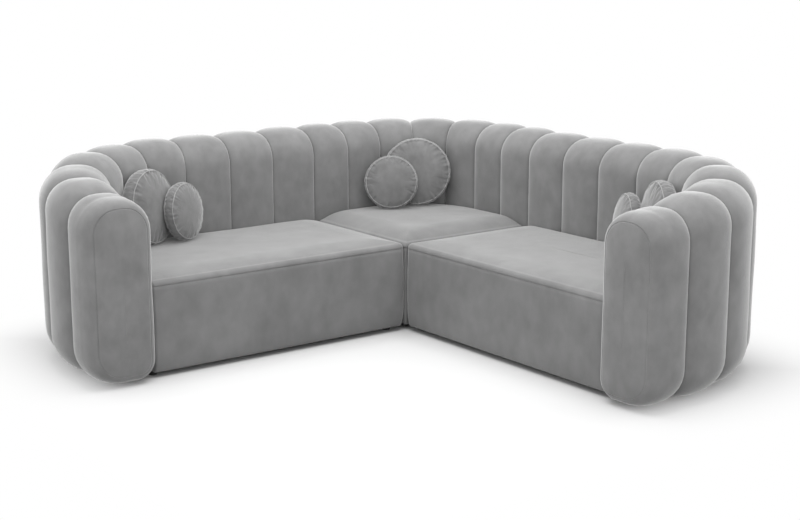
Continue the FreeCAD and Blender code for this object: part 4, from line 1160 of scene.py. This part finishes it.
# %% [markdown]
# ## The floor and the light
#
# The sofa stands on a white floor in a white room. The sky does most of the work, and a
# wide lamp overhead lifts the seats a little above the upright faces. In the camera's eye
# and in mirrors the sky is plain white, and so is the floor away from the sofa.

# %% Floor
FLOOR_SIZE = 40.0
WHITE_FROM, WHITE_BY = 1.0, 1.7
FLOOR_SEEN, FLOOR_BOUNCE = (0.76, 0.76, 0.76, 1), (0.40, 0.40, 0.40, 1)


def looked_at(tree):
    """1 for rays of the camera, and for those that mirrors or glass send on."""
    rays = add(tree, "ShaderNodeLightPath")
    seen = maths(tree, "MAXIMUM", rays.outputs["Is Camera Ray"], rays.outputs["Is Glossy Ray"])
    return maths(tree, "MAXIMUM", seen, rays.outputs["Is Transmission Ray"])


def floor_material():
    """White floor that keeps shadows near the sofa and is plain white further away."""
    material, tree, shader = bare_material("studio_floor")
    shader.inputs["Roughness"].default_value = 0.9
    shader.inputs["Specular IOR Level"].default_value = 0.0
    glow = add(tree, "ShaderNodeEmission")
    where = add(tree, "ShaderNodeTexCoord")
    away = add(tree, "ShaderNodeVectorMath", operation="ABSOLUTE")
    split = add(tree, "ShaderNodeSeparateXYZ")
    join(tree, where.outputs["Object"], away.inputs[0])
    join(tree, away.outputs["Vector"], split.inputs[0])
    square = maths(tree, "MAXIMUM", split.outputs["X"], split.outputs["Y"])
    fade = add(tree, "ShaderNodeMapRange", interpolation_type="SMOOTHSTEP")
    fade.inputs["From Min"].default_value = WHITE_FROM
    fade.inputs["From Max"].default_value = WHITE_BY
    join(tree, square, fade.inputs["Value"])
    seen = looked_at(tree)
    paint = add(tree, "ShaderNodeMix", data_type="RGBA")
    paint.inputs["A"].default_value = FLOOR_BOUNCE
    paint.inputs["B"].default_value = FLOOR_SEEN
    join(tree, seen, paint.inputs["Factor"])
    join(tree, paint.outputs["Result"], shader.inputs["Base Color"])
    blend = add(tree, "ShaderNodeMixShader")
    join(tree, maths(tree, "MULTIPLY", seen, fade.outputs["Result"]), blend.inputs[0])
    join(tree, shader.outputs[0], blend.inputs[1])
    join(tree, glow.outputs[0], blend.inputs[2])
    join(tree, blend.outputs[0], tree.nodes["Material Output"].inputs["Surface"])
    return material


def make_floor():
    """One large flat square that belongs to the stage."""
    half = FLOOR_SIZE / 2
    mesh = bpy.data.meshes.new("studio_floor")
    corners = [(-half, -half, 0), (half, -half, 0), (half, half, 0), (-half, half, 0)]
    mesh.from_pydata(corners, [], [(0, 1, 2, 3)])
    floor = bpy.data.objects.new("studio_floor", mesh)
    mesh.materials.append(floor_material())
    bpy.context.collection.objects.link(floor)


make_floor()

# %% [markdown]
# The sky's light is strongest low down, because that is what reaches upright faces. It
# comes from all sides, so the shadows on the floor stay short and soft.

# %% Light
ZENITH_STRENGTH, HORIZON_STRENGTH = 0.95, 1.95
BAND_TOP = 0.50
LAMP_HEIGHT, LAMP_SIZE, LAMP_POWER = 4.5, 4.0, 140.0


def make_sky():
    """Soft fill, strongest low down all round the room, and plain white for the camera."""
    world = bpy.data.worlds.new("studio_sky")
    bpy.context.scene.world = world
    world.use_nodes = True
    tree = world.node_tree
    fill = tree.nodes["Background"]
    fill.inputs["Color"].default_value = (1, 1, 1, 1)
    where = add(tree, "ShaderNodeTexCoord")
    split = add(tree, "ShaderNodeSeparateXYZ")
    join(tree, where.outputs["Generated"], split.inputs[0])
    band = add(tree, "ShaderNodeMapRange", interpolation_type="SMOOTHSTEP")
    band.inputs["From Max"].default_value = BAND_TOP
    band.inputs["To Min"].default_value = HORIZON_STRENGTH
    band.inputs["To Max"].default_value = ZENITH_STRENGTH
    join(tree, split.outputs["Z"], band.inputs["Value"])
    join(tree, band.outputs["Result"], fill.inputs["Strength"])
    white = add(tree, "ShaderNodeBackground")
    white.inputs["Color"].default_value = (1, 1, 1, 1)
    blend = add(tree, "ShaderNodeMixShader")
    join(tree, looked_at(tree), blend.inputs[0])
    join(tree, fill.outputs[0], blend.inputs[1])
    join(tree, white.outputs[0], blend.inputs[2])
    join(tree, blend.outputs[0], tree.nodes["World Output"].inputs["Surface"])


def make_lamp():
    """Wide soft square lamp over the middle of the sofa."""
    lamp = bpy.data.lights.new("overhead_softbox", "AREA")
    lamp.shape = "SQUARE"
    lamp.size = LAMP_SIZE
    lamp.energy = LAMP_POWER
    holder = bpy.data.objects.new("overhead_softbox", lamp)
    holder.location = (0, 0, LAMP_HEIGHT)
    bpy.context.collection.objects.link(holder)


make_sky()
make_lamp()
